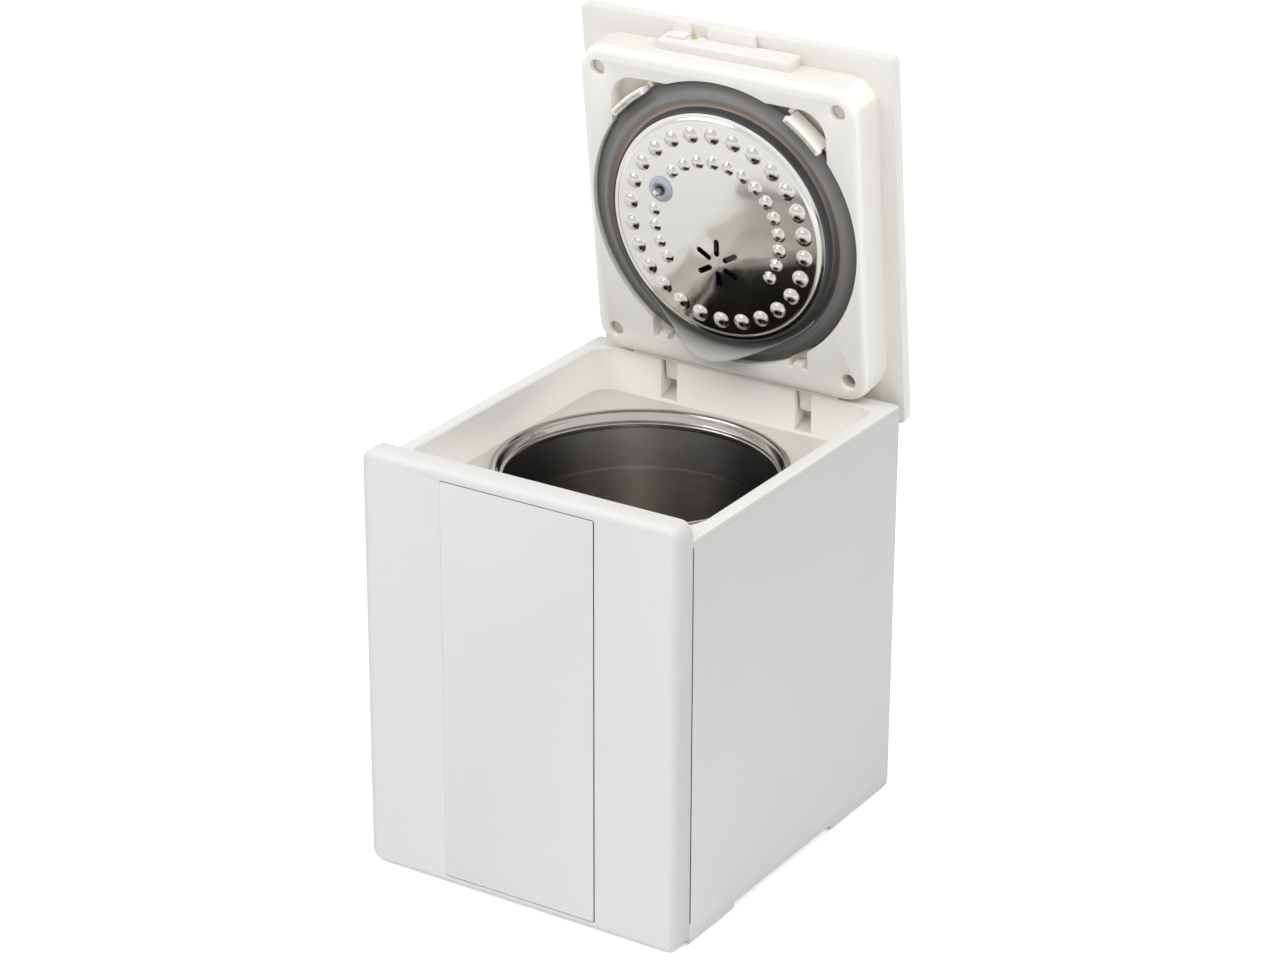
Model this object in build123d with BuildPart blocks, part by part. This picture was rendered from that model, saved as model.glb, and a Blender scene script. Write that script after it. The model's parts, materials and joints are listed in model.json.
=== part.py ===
from build123d import *
import os
from math import cos, radians, sin

# A compact rice cooker with its lid open. Millimetres, +Z up, +Y to the back. The origin lies
# on the floor, in the middle of the box of the open cooker.

# Body
FRONT_Y = -118.0  # front face of the front panel
BODY_WIDTH = 190.0
BODY_DEPTH = 222.0  # front face to back face
RIM_HEIGHT = 226.0  # top of the rim above the floor
BODY_CORNER = 3.0  # upright rear corners
SHELL_WALL = 2.5
FIT_GAP = 0.1  # between fixed pieces that are pushed together
SIDES = (-1, 1)

# Base pan and feet
BASE_SEAM = 13.0  # joint of base pan and shell above the floor
SKIRT_LIFT = 5.0
PAN_FLOOR = 2.5
FOOT_WIDTH = 34.0
FRONT_FOOT_LENGTH = 44.0
REAR_FOOT_LENGTH = 62.0
REAR_FOOT_INSET = 3.0
FOOT_SOLE = 1.0  # height of the moulded sole above the floor
FOOT_EDGE = 2.0
PAD_WIDTH = 18.0
PAD_LENGTH = 26.0
PAD_CORNER = 4.0
PAD_THICKNESS = 2.0
PAD_INSET = 13.0  # side face to pad centre
BASE_SCREW_INSET = 28.0  # side face to screw axis
BASE_SCREW_LENGTH = 16.0
BASE_BOSS_RADIUS = 4.5
BASE_BOSS_HEIGHT = 30.0
RIB_THICKNESS = 3.0
VENT_COUNT = 7
VENT_PITCH = 9.0
VENT_LENGTH = 60.0
VENT_WIDTH = 4.0

# Screws
SCREW_RADIUS = 1.5
SCREW_HEAD_RADIUS = 3.0
SCREW_HEAD_HEIGHT = 2.0
SCREW_HEAD_SINK = 1.0  # head below the surface it is driven from

# Front panel and touch window
PANEL_THICKNESS = 13.0
PANEL_RISE = 10.0  # panel top above the rim
PANEL_FLOOR_GAP = 0.5
PANEL_CORNER = 7.0
PANEL_EDGE = 4.0
WINDOW_WIDTH = 92.4
WINDOW_BOTTOM = 5.0
WINDOW_TOP_DROP = 6.3  # panel top to window opening
WINDOW_DEPTH = 3.0
WINDOW_CORNER = 1.0
WINDOW_GAP = 0.4
PANEL_SCREW_X = 62.0
PANEL_SCREW_LOW = 40.0
PANEL_SCREW_DROP = 18.5  # deck's underside to the upper screws
PANEL_SCREW_DEPTH = 7.0
DISPLAY_Z = 130.0
DISPLAY_CAVITY_WIDTH = 82.0
DISPLAY_CAVITY_HEIGHT = 150.0
DISPLAY_BOARD_MARGIN = 2.0
BOARD_THICKNESS = 1.6
DISPLAY_STANDOFF = 3.0
DISPLAY_STANDOFF_RADIUS = 3.0
DISPLAY_STANDOFF_INSET = 6.0
DISPLAY_MODULE_WIDTH = 56.0
DISPLAY_MODULE_HEIGHT = 26.0
KEY_PAD_RADIUS = 5.0
KEY_PAD_PITCH = 22.0
HARNESS_HOLE_WIDTH = 36.0
HARNESS_HOLE_HEIGHT = 14.0

# Rim, recess and deck
RIM_THICKNESS = 4.0
RIM_WIDTH = 8.5
REAR_RIM_WIDTH = 12.0
RIM_FILLET = 2.2
RIM_INNER_FILLET = 1.2
FRAME_WALL = 2.0
RECESS_CORNER = 12.0
RECESS_FRONT_CORNER = 24.0
DECK_DROP = 25.0  # rim to deck
DECK_THICKNESS = 2.5

# Pot, measured from the middle of its rim
POT_RIM_DROP = 18.3  # body rim to pot rim
POT_HEIGHT = 125.0
POT_RIM_THICKNESS = 3.4
POT_RIM_ROUND = 1.2
POT_BEAD_WIDTH = 4.5  # edge of the rim to its step
POT_STEP_WIDTH = 2.5  # step to the inner wall
POT_STEP_DROP = 5.5
POT_WALL = 1.6
POT_TAPER = 11.0  # inner wall at the top to outer wall at the bottom corner
POT_CORNER = 13.0
POT_SEAT_INSET = 0.4  # pot rim inside the edge of its seat
SEAT_GAP = 0.1
SEAT_SIDE_GAP = 7.1  # side of the recess to the seat
SEAT_END_GAP = 10.0  # least room from an end of the recess to the seat
SEAT_WIDTH = 2.2
WELL_WALL = 1.2
WELL_FLANGE = 6.0

# Heater and sensor
HEATER_INSET = 11.0  # pot's bottom corner to the plate's edge
HEATER_THICKNESS = 7.0
HEATER_GAP = 0.4  # below the pot
HEATER_EDGE = 1.5
ELEMENT_INSET = 14.0  # plate's edge to the tube
ELEMENT_RADIUS = 3.2
POST_COUNT = 3
POST_RADIUS = 4.0
POST_HEIGHT = 13.0
POST_INSET = 4.5  # plate's edge to the posts
BAND_HEIGHT = 30.0
BAND_THICKNESS = 1.2
BAND_DROP = 60.0  # deck to band
SENSOR_RADIUS = 11.0
SENSOR_HEIGHT = 6.0
SENSOR_GAP = 0.3
SENSOR_CLEARANCE = 1.0
STEM_RADIUS = 3.5
STEM_RUNNING = 0.05
STEM_LENGTH = 24.0
GUIDE_RADIUS = 6.0
GUIDE_FLANGE_RADIUS = 9.5
GUIDE_FLANGE = 1.5
GUIDE_LENGTH = 9.0
SPRING_WALL = 1.0
SPRING_CLEARANCE = 0.4
FUSE_RADIUS = 3.0
FUSE_LENGTH = 16.0
FUSE_RING_RADIUS = 30.0

# Electronics in the base
BOARD_WIDTH = 104.0
BOARD_LENGTH = 120.0
BOARD_STANDOFF = 12.0
BOARD_STANDOFF_RADIUS = 3.5
BOARD_STANDOFF_INSET = 7.0
BOARD_Y = -10.0
TRANSFORMER_SIZE = (32.0, 28.0, 22.0)
TRANSFORMER_SPOT = (-30.0, 30.0)
RELAY_SIZE = (16.0, 20.0, 15.0)
RELAY_SPOT = (12.0, 36.0)
SINK_SIZE = (8.0, 40.0, 24.0)
SINK_SPOT = (38.0, 0.0)
CAPACITOR_RADIUS = 6.0
CAPACITOR_HEIGHT = 18.0
CAPACITOR_SPOTS = ((-32.0, -6.0), (-32.0, -24.0), (-14.0, -24.0))
BUZZER_RADIUS = 9.0
BUZZER_HEIGHT = 6.0
BUZZER_SPOT = (14.0, -40.0)

# Power inlet in the rear wall
INLET_INSET = 43.0  # side face to the inlet
INLET_Z = 46.0
INLET_WIDTH = 34.0
INLET_HEIGHT = 24.0
INLET_DEPTH = 18.0
INLET_WALL = 2.5
INLET_FLANGE = 3.0
INLET_CORNER = 3.0
SOCKET_DEPTH = 12.0
PRONG_RADIUS = 1.6
PRONG_PITCH = 12.0
PRONG_LENGTH = 6.0

# Lid
LID_OPEN_ANGLE = 83.0
HINGE_INSET = 5.0  # back face to hinge axis
HINGE_DROP = 10.0  # rim to hinge axis
HINGE_X = 42.0
KNUCKLE_RADIUS = 3.6
KNUCKLE_GAP = 0.4
ARM_WIDTH = 7.6
SLOT_WIDTH = 10.2
SLOT_DEPTH = 18.0
SLOT_SLOPE = 5.0
PIN_RADIUS = 1.5
PIN_RUNNING = 0.05
PIN_BEARING = 6.0  # pin length held each side of the slot
HINGE_BLOCK_WIDTH = 124.0
HINGE_BLOCK_HEIGHT = 29.0
SPRING_CAVITY = 14.0
LID_GAP = 0.8  # rim to the underside of the lid
LID_FRONT_GAP = 0.5
LID_SIDE_INSET = 1.0
LID_CORNER = 3.0
LID_EDGE = 2.0
LID_BASE_THICKNESS = 2.0
LID_BASE_INSET = 0.6
LID_COVER_HEIGHT = 6.0
LID_SKIN = 2.5
FRAME_SIDE_GAP = 1.7  # lid frame to the sides of the recess
FRAME_FRONT_GAP = 7.9
FRAME_REAR_GAP = 5.5
FRAME_DEPTH = 20.0  # rim to the face of the lid frame
FRAME_CORNER = 17.0
FRAME_EDGE = 5.0
LID_FRAME_WALL = 2.5
POCKET_GAP = 1.0  # gasket to the wall of the pocket
POCKET_FLOOR = 9.0  # rim to the floor of the round pocket
POCKET_SKIN = 3.0
CATCH_POCKET_SIDE = 19.8  # lid frame's side to the catch pockets
CATCH_POCKET_END = 14.7  # lid frame's front to the catch pockets
CATCH_POCKET_CORNER = 15.0
LID_SCREW_SIDE = 12.5  # lid frame's side to a screw
LID_SCREW_END = 12.8  # lid frame's end to a screw
LID_SCREW_SINK = 5.0
LID_SCREW_BORE = 4.5
LID_BOSS_RADIUS = 4.0
LID_BOSS_HEIGHT = 3.0
HOOK_POCKET_X = 41.5
HOOK_POCKET_END = 19.5  # lid frame's rear to a hook pocket
HOOK_POCKET_WIDTH = 13.0
HOOK_POCKET_LENGTH = 12.0
HOOK_POCKET_DEPTH = 8.0
FIXED_HOOK_WIDTH = 5.0
FIXED_HOOK_LENGTH = 3.0
LID_HEATER_INSET = 2.5  # collar to the plate
LID_HEATER_THICKNESS = 1.2
INSULATION_MARGIN = 3.0  # felt past the plate
INSULATION_THICKNESS = 3.5

# Steam path
STEAM_Y = 19.5  # from the pot axis towards the hinge
DUCT_BORE = 9.0
DUCT_WALL = 1.5
DISH_FLOOR = 1.5
CAP_RADIUS = 22.0
CAP_GAP = 0.4
DISH_WALL = 1.6
CAP_SKIRT_RADIUS = 18.0
CAP_SKIRT_WALL = 1.6
CAP_TOP_THICKNESS = 2.0
CAP_SLOT_LENGTH = 16.0
CAP_SLOT_WIDTH = 2.0
CAP_SLOT_PITCH = 5.0
CAP_SLOT_COUNT = 3
CAP_SEAL_HEIGHT = 1.4
CAP_SEAL_WIDTH = 1.5
CAP_LIFT_GAP = 0.3

# Inner lid
GASKET_OVERLAP = 0.5  # gasket past the pot rim
GASKET_SEAL_DEPTH = 17.7  # rim to the sealing face
GASKET_LIP = 1.3
GASKET_CROWN_INSET = 2.9  # shoulder to crown
GASKET_CROWN_DEPTH = 20.4
GASKET_LIP_WIDTH = 5.6  # edge to shoulder
GASKET_FOOT_INSET = 1.5  # shoulder to foot
GASKET_FOOT_WIDTH = 5.6
GASKET_SEAT_GAP = 0.3
GROOVE_DEPTH = 16.0
GROOVE_INSET = 3.0  # crown to groove
GROOVE_WIDTH = 2.6
DISC_INSET = 3.6  # groove to the disc's edge
DISC_THICKNESS = 0.8
DISC_EDGE_DEPTH = 23.4
DISC_FACE_DEPTH = 25.7
DISC_FACE_INSET = 3.9  # disc's edge to its raised face
DISC_HEM = 2.2  # flat width of the disc's edge
COLLAR_WALL = 1.4
COLLAR_GAP = 0.15
COLLAR_RISE = 0.4  # collar above the disc's edge
COLLAR_OVERLAP = 4.9  # collar under the disc's edge
COLLAR_THICKNESS = 1.6
DIMPLES = 26  # places in each ring, the first at the front
OUTER_DIMPLE_INSET = 7.3  # edge of the face to the ring
OUTER_DIMPLE_RADIUS = 4.4
INNER_DIMPLE_INSET = 14.9  # outer ring to inner ring
INNER_DIMPLE_RADIUS = 3.4
INNER_DIMPLE_SPAN = 9  # places kept each side of the front in the inner ring
PROBE_PLACES = (-5, -4)  # places of the inner ring left free for the probe
DIMPLE_RISE = 1.6
STAR_SLOTS = 6
STAR_RING = 9.2
STAR_SLOT_LENGTH = 9.4
STAR_SLOT_WIDTH = 2.4
PROBE_INSET = 1.3  # inner ring to the probe
PROBE_ANGLE = -152.5
PROBE_RADIUS = 1.7
PROBE_DEPTH = 31.0
PROBE_COLLAR_RADIUS = 4.0
PROBE_COLLAR_HEIGHT = 3.0
GROMMET_RADIUS = 7.2
GROMMET_NECK_RADIUS = 3.6
GROMMET_THICKNESS = 1.6
GROMMET_BORE_GAP = 0.5
FLAP_DEPTH = 31.0
FLAP_INSET = 0.6  # crown to the flap's outer face
FLAP_THICKNESS = 1.4
FLAP_HALF_ANGLE = 50.0
FLAP_END_DEPTH = 21.5  # its depth where it runs out

# Latch, catches and button
LATCH_BAR_WIDTH = 80.0
LATCH_BAR_REACH = 6.0  # in front of the lid frame
LATCH_BAR_DEPTH = 11.0
LATCH_BAR_ROUND = 2.0
HOOK_WIDTH = 29.0
HOOK_THICKNESS = 2.8
HOOK_LENGTH = 28.0
HOOK_TIP_GAP = 0.3
HOOK_GUIDE_GAP = 0.3
HOOK_ROUND = 1.0
NOTCH_GAP = 1.5
LATCH_TAB_WIDTH = 11.0
LATCH_TAB_LENGTH = 4.5
LATCH_TAB_X = -30.5
LATCH_TAB_THICKNESS = 1.6
STRIKE_WIDTH = 30.0
STRIKE_HEIGHT = 6.0
STRIKE_THICKNESS = 1.2
STRIKE_POCKET_GAP = 0.3
LATCH_SPRING_RADIUS = 1.6
LATCH_SPRING_LENGTH = 9.0
LATCH_SPRING_X = 20.0
CONTACT_RADIUS = 1.3
CONTACT_GAP = 0.4  # tip to the front wall of the recess, lid closed
CONTACT_X = -21.5
BUTTON_WIDTH = 40.0
BUTTON_LENGTH = 13.0
BUTTON_Y = -82.0
BUTTON_HEIGHT = 3.0
BUTTON_GAP = 0.3
BUTTON_TRAVEL = 2.0
BUTTON_STEM_WIDTH = 10.0
BUTTON_STEM_LENGTH = 5.0
CATCH_ANGLE = 40.4  # each side of the lid's front
CATCH_GAP = 0.5  # gasket to the catches
CATCH_LENGTH = 24.0
CATCH_THICKNESS = 3.2
CATCH_DEPTH = 23.9
CATCH_HEAD_LENGTH = 28.0
CATCH_HEAD_WIDTH = 6.4
CATCH_HEAD_THICKNESS = 2.6
CATCH_PIVOT_DEPTH = 12.3
CATCH_PIN_RADIUS = 0.8
EAR_WIDTH = 2.4
EAR_GAP = 0.4

# Derived places in the body
PANEL_BACK_Y = FRONT_Y + PANEL_THICKNESS
PANEL_TOP = RIM_HEIGHT + PANEL_RISE
BACK_Y = FRONT_Y + BODY_DEPTH
BODY_LENGTH = BACK_Y - PANEL_BACK_Y
BODY_MID_Y = (BACK_Y + PANEL_BACK_Y) / 2
SHELL_TOP = RIM_HEIGHT - RIM_THICKNESS
PAN_TOP = SKIRT_LIFT + PAN_FLOOR
FRONT_FOOT_Y = PANEL_BACK_Y + FRONT_FOOT_LENGTH / 2
REAR_FOOT_Y = BACK_Y - REAR_FOOT_INSET - REAR_FOOT_LENGTH / 2
FEET = ((FRONT_FOOT_Y, FRONT_FOOT_LENGTH), (REAR_FOOT_Y, REAR_FOOT_LENGTH))
PAD_X = BODY_WIDTH / 2 - PAD_INSET
BASE_SCREW_X = BODY_WIDTH / 2 - BASE_SCREW_INSET
BASE_HEAD_Z = FOOT_SOLE + SCREW_HEAD_SINK + SCREW_HEAD_HEIGHT
BOARD_Z = PAN_TOP + BOARD_STANDOFF
BOARD_TOP = BOARD_Z + BOARD_THICKNESS
WINDOW_TOP = PANEL_TOP - WINDOW_TOP_DROP
WINDOW_HEIGHT = WINDOW_TOP - WINDOW_BOTTOM
WINDOW_Z = (WINDOW_TOP + WINDOW_BOTTOM) / 2
WINDOW_FLOOR_Y = FRONT_Y + WINDOW_DEPTH
DISPLAY_BOARD_Y = PANEL_BACK_Y - DISPLAY_STANDOFF  # back of the display board
DISPLAY_BOARD_WIDTH = DISPLAY_CAVITY_WIDTH - 2 * DISPLAY_BOARD_MARGIN
DISPLAY_BOARD_HEIGHT = DISPLAY_CAVITY_HEIGHT - 2 * DISPLAY_BOARD_MARGIN
RECESS_FRONT_Y = PANEL_BACK_Y + SHELL_WALL + FRAME_WALL + FIT_GAP
RECESS_REAR_Y = BACK_Y - REAR_RIM_WIDTH
RECESS_LENGTH = RECESS_REAR_Y - RECESS_FRONT_Y
RECESS_MID_Y = (RECESS_REAR_Y + RECESS_FRONT_Y) / 2
RECESS_WIDTH = BODY_WIDTH - 2 * RIM_WIDTH
FRAME_WIDTH = RECESS_WIDTH - 2 * FRAME_SIDE_GAP
FRAME_LENGTH = RECESS_LENGTH - FRAME_FRONT_GAP - FRAME_REAR_GAP
INLET_X = BODY_WIDTH / 2 - INLET_INSET
DECK_Z = RIM_HEIGHT - DECK_DROP
DECK_UNDER_Z = DECK_Z - DECK_THICKNESS
PANEL_SCREW_LEVELS = (PANEL_SCREW_LOW, DECK_UNDER_Z - PANEL_SCREW_DROP)
PANEL_SCREWS = [(side * PANEL_SCREW_X, z) for side in SIDES for z in PANEL_SCREW_LEVELS]
POT_Y = RECESS_MID_Y + (FRAME_FRONT_GAP - FRAME_REAR_GAP) / 2  # under the lid frame's middle
POT_AXIS = Axis((0, POT_Y, 0), (0, 0, 1))
POT_RIM_Z = RIM_HEIGHT - POT_RIM_DROP
POT_BOTTOM_Z = POT_RIM_Z - POT_HEIGHT
SEAT_RADIUS = min(RECESS_WIDTH / 2 - SEAT_SIDE_GAP, RECESS_LENGTH / 2 - SEAT_END_GAP)
WELL_RADIUS = SEAT_RADIUS - SEAT_WIDTH
POT_RIM_RADIUS = SEAT_RADIUS - POT_SEAT_INSET
POT_STEP_RADIUS = POT_RIM_RADIUS - POT_BEAD_WIDTH
POT_MOUTH_RADIUS = POT_STEP_RADIUS - POT_STEP_WIDTH  # inner wall at the top
POT_FOOT_RADIUS = POT_MOUTH_RADIUS - POT_TAPER  # outer wall where the bottom corner starts
HEATER_RADIUS = POT_FOOT_RADIUS - HEATER_INSET
ELEMENT_RING_RADIUS = HEATER_RADIUS - ELEMENT_INSET
POST_RING_RADIUS = HEATER_RADIUS - POST_INSET
SEAT_TOP_Z = POT_RIM_Z - POT_RIM_THICKNESS - SEAT_GAP
HEATER_TOP_Z = POT_BOTTOM_Z - HEATER_GAP
HEATER_UNDER_Z = HEATER_TOP_Z - HEATER_THICKNESS
WELL_FLOOR_Z = HEATER_UNDER_Z - POST_HEIGHT
SENSOR_TOP_Z = POT_BOTTOM_Z - SENSOR_GAP
SENSOR_UNDER_Z = SENSOR_TOP_Z - SENSOR_HEIGHT
GUIDE_TOP_Z = WELL_FLOOR_Z + GUIDE_FLANGE
HINGE_Y = BACK_Y - HINGE_INSET
HINGE_Z = RIM_HEIGHT - HINGE_DROP
HINGE_BLOCK_Z = RIM_HEIGHT - HINGE_BLOCK_HEIGHT

# Derived places in the lid: x across, y from the pot axis to the hinge, z up from the closed rim
TILT = radians(LID_OPEN_ANGLE)
LID_ACROSS = Vector(1, 0, 0)
LID_BACK = Vector(0, cos(TILT), -sin(TILT))
LID_UP = Vector(0, sin(TILT), cos(TILT))
HINGE_REACH = HINGE_Y - POT_Y  # pot axis to hinge axis
LID_ORIGIN = Vector(0, HINGE_Y, HINGE_Z) - LID_BACK * HINGE_REACH + LID_UP * HINGE_DROP
LID = Plane(origin=LID_ORIGIN, x_dir=LID_ACROSS, z_dir=LID_UP)
LID_SIDE = Plane(origin=LID_ORIGIN, x_dir=LID_BACK, z_dir=LID_ACROSS)
LID_SECTION = Plane(origin=LID_ORIGIN, x_dir=LID_ACROSS, z_dir=LID_BACK * -1)
LID_AXIS = Axis(LID_ORIGIN, LID_UP)
LID_FRONT_Y = PANEL_BACK_Y + LID_FRONT_GAP - POT_Y
LID_REAR_Y = BACK_Y - POT_Y
LID_WIDTH = BODY_WIDTH - 2 * LID_SIDE_INSET
LID_LENGTH = LID_REAR_Y - LID_FRONT_Y
LID_MID_Y = (LID_REAR_Y + LID_FRONT_Y) / 2
LID_BASE_TOP = LID_GAP + LID_BASE_THICKNESS
LID_TOP = LID_BASE_TOP + LID_COVER_HEIGHT
CAVITY_FLOOR = POCKET_FLOOR - POCKET_SKIN
FRAME_FRONT_Y = -FRAME_LENGTH / 2
FRAME_REAR_Y = FRAME_LENGTH / 2
GASKET_RADIUS = POT_RIM_RADIUS + GASKET_OVERLAP
GASKET_SHOULDER_RADIUS = GASKET_RADIUS - GASKET_LIP_WIDTH
GASKET_FOOT_RADIUS = GASKET_SHOULDER_RADIUS - GASKET_FOOT_INSET
GASKET_CROWN_RADIUS = GASKET_SHOULDER_RADIUS - GASKET_CROWN_INSET
FLAP_RADIUS = GASKET_CROWN_RADIUS - FLAP_INSET
GROOVE_RADIUS = GASKET_CROWN_RADIUS - GROOVE_INSET
DISC_RADIUS = GROOVE_RADIUS - DISC_INSET
DISC_FACE_RADIUS = DISC_RADIUS - DISC_FACE_INSET
COLLAR_INNER_RADIUS = DISC_RADIUS - COLLAR_OVERLAP
OUTER_DIMPLE_RING = DISC_FACE_RADIUS - OUTER_DIMPLE_INSET
INNER_DIMPLE_RING = OUTER_DIMPLE_RING - INNER_DIMPLE_INSET
PROBE_RING = INNER_DIMPLE_RING - PROBE_INSET
LID_HEATER_RADIUS = COLLAR_INNER_RADIUS - LID_HEATER_INSET
INSULATION_RADIUS = LID_HEATER_RADIUS + INSULATION_MARGIN
POCKET_RADIUS = GASKET_RADIUS + POCKET_GAP
CATCH_RADIUS = GASKET_RADIUS + CATCH_GAP
CATCH_POCKET_WIDTH = FRAME_WIDTH - 2 * CATCH_POCKET_SIDE
CATCH_POCKET_REACH = FRAME_LENGTH / 2 - CATCH_POCKET_END
LID_SCREW_X = FRAME_WIDTH / 2 - LID_SCREW_SIDE
LID_SCREW_Y = FRAME_LENGTH / 2 - LID_SCREW_END
HOOK_POCKET_Y = FRAME_REAR_Y - HOOK_POCKET_END
DUCT_RADIUS = DUCT_BORE + DUCT_WALL
DISH_RADIUS = CAP_RADIUS + CAP_GAP + DISH_WALL
DISH_TOP = LID_TOP - LID_SKIN - FIT_GAP
CAP_UNDER = LID_BASE_TOP + DISH_FLOOR + CAP_LIFT_GAP
PROBE_X = PROBE_RING * cos(radians(PROBE_ANGLE))
PROBE_Y = PROBE_RING * sin(radians(PROBE_ANGLE))
HOOK_TIP_Y = PANEL_BACK_Y + HOOK_TIP_GAP - POT_Y
HOOK_TOP = LID_GAP - HOOK_GUIDE_GAP
HOOK_UNDER = HOOK_TOP - HOOK_THICKNESS
HOOK_MID_Y = HOOK_TIP_Y + HOOK_LENGTH / 2
LID_SCREWS = [(sx * LID_SCREW_X, sy * LID_SCREW_Y) for sx in SIDES for sy in SIDES]
DIMPLE_STEP = 360 / DIMPLES


def front_plane(y):
    """Upright plane at depth y that faces the front, with height as its second axis."""
    return Plane(origin=(0, y, 0), x_dir=(1, 0, 0), z_dir=(0, -1, 0))


def pot_section(z):
    """Upright section plane through the pot axis, with its zero at height z."""
    return Plane(origin=(0, POT_Y, z), x_dir=(1, 0, 0), z_dir=(0, -1, 0))


def pot_level(z):
    """Level plane at height z, centred on the pot axis."""
    return Plane(origin=(0, POT_Y, z))


def catch_plane(side):
    """Upright plane of one catch's inner face: x along the tab, y up the lid, z outwards."""
    turn = radians(-90 + side * CATCH_ANGLE)
    outwards = LID_ACROSS * cos(turn) + LID_BACK * sin(turn)
    return Plane(origin=LID_ORIGIN + outwards * CATCH_RADIUS, x_dir=LID_UP.cross(outwards), z_dir=outwards)


def catch_pivot(side):
    """Plane across one catch's pivot axis, in the middle of the tab."""
    tab = catch_plane(side)
    axis_point = tab.origin + tab.z_dir * (CATCH_THICKNESS / 2) - LID_UP * CATCH_PIVOT_DEPTH
    return Plane(origin=axis_point, x_dir=tab.z_dir, z_dir=tab.x_dir)


def ring_spot(ring, place):
    """Point on a dimple ring; place 0 is at the lid's front."""
    turn = radians(-90 + place * DIMPLE_STEP)
    return (ring * cos(turn), ring * sin(turn))


def write(builder, name):
    """Label a finished piece and save it as its own file."""
    builder.part.label = name
    export_step(builder.part, f"parts/{name}.step")


os.makedirs("parts", exist_ok=True)

# Base pan: tray with feet, air slots, screw holes and standoffs for the main board
with BuildPart() as base_pan:
    with BuildSketch(Plane((0, BODY_MID_Y, SKIRT_LIFT))):
        Rectangle(BODY_WIDTH, BODY_LENGTH)
    extrude(amount=BASE_SEAM - SKIRT_LIFT)
    fillet(base_pan.edges().filter_by(Axis.Z).group_by(Axis.Y)[-1], BODY_CORNER)
    with BuildSketch(Plane((0, BODY_MID_Y, PAN_TOP))):
        Rectangle(BODY_WIDTH - 2 * SHELL_WALL, BODY_LENGTH - 2 * SHELL_WALL)
    extrude(amount=BASE_SEAM - PAN_TOP, mode=Mode.SUBTRACT)
    for foot_y, foot_length in FEET:
        with BuildSketch(Plane((0, foot_y, FOOT_SOLE))):
            with GridLocations(BODY_WIDTH - FOOT_WIDTH, 0, 2, 1):
                Rectangle(FOOT_WIDTH, foot_length)
        extrude(amount=SKIRT_LIFT - FOOT_SOLE)
    fillet(base_pan.faces().group_by(Axis.Z)[0].edges(), FOOT_EDGE)
    for foot_y, foot_length in FEET:
        with BuildSketch(Plane((0, foot_y, FOOT_SOLE))):
            with GridLocations(2 * PAD_X, 0, 2, 1):
                RectangleRounded(PAD_WIDTH, PAD_LENGTH, PAD_CORNER)
        extrude(amount=PAD_THICKNESS - FOOT_SOLE, mode=Mode.SUBTRACT)
        with BuildSketch(Plane((0, foot_y, FOOT_SOLE))):
            with GridLocations(2 * BASE_SCREW_X, 0, 2, 1):
                Circle(SCREW_HEAD_RADIUS + FIT_GAP)
        extrude(amount=BASE_HEAD_Z - FOOT_SOLE, mode=Mode.SUBTRACT)
        with BuildSketch(Plane((0, foot_y, FOOT_SOLE))):
            with GridLocations(2 * BASE_SCREW_X, 0, 2, 1):
                Circle(SCREW_RADIUS + FIT_GAP)
        extrude(amount=PAN_TOP - FOOT_SOLE, mode=Mode.SUBTRACT)
    with BuildSketch(Plane((0, BOARD_Y, SKIRT_LIFT))):
        with GridLocations(VENT_PITCH, 0, VENT_COUNT, 1):
            SlotOverall(VENT_LENGTH, VENT_WIDTH, rotation=90)
    extrude(amount=PAN_FLOOR, mode=Mode.SUBTRACT)
    with BuildSketch(Plane((0, BOARD_Y, PAN_TOP))):
        with GridLocations(
            BOARD_WIDTH - 2 * BOARD_STANDOFF_INSET, BOARD_LENGTH - 2 * BOARD_STANDOFF_INSET, 2, 2
        ):
            Circle(BOARD_STANDOFF_RADIUS)
    extrude(amount=BOARD_STANDOFF)
write(base_pan, "base_pan")

# Rubber pads under the feet
with BuildPart() as rubber_feet:
    for foot_y, foot_length in FEET:
        with BuildSketch(Plane((0, foot_y, 0))):
            with GridLocations(2 * PAD_X, 0, 2, 1):
                RectangleRounded(PAD_WIDTH - 2 * FIT_GAP, PAD_LENGTH - 2 * FIT_GAP, PAD_CORNER - FIT_GAP)
        extrude(amount=PAD_THICKNESS)
write(rubber_feet, "rubber_feet")

# Screws that hold the base pan to the shell
with BuildPart() as base_screws:
    for foot_y, foot_length in FEET:
        with BuildSketch(Plane((0, foot_y, BASE_HEAD_Z))):
            with GridLocations(2 * BASE_SCREW_X, 0, 2, 1):
                Circle(SCREW_HEAD_RADIUS)
        extrude(amount=-SCREW_HEAD_HEIGHT)
        with BuildSketch(Plane((0, foot_y, BASE_HEAD_Z))):
            with GridLocations(2 * BASE_SCREW_X, 0, 2, 1):
                Circle(SCREW_RADIUS)
        extrude(amount=BASE_SCREW_LENGTH)
write(base_screws, "base_screws")

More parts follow.
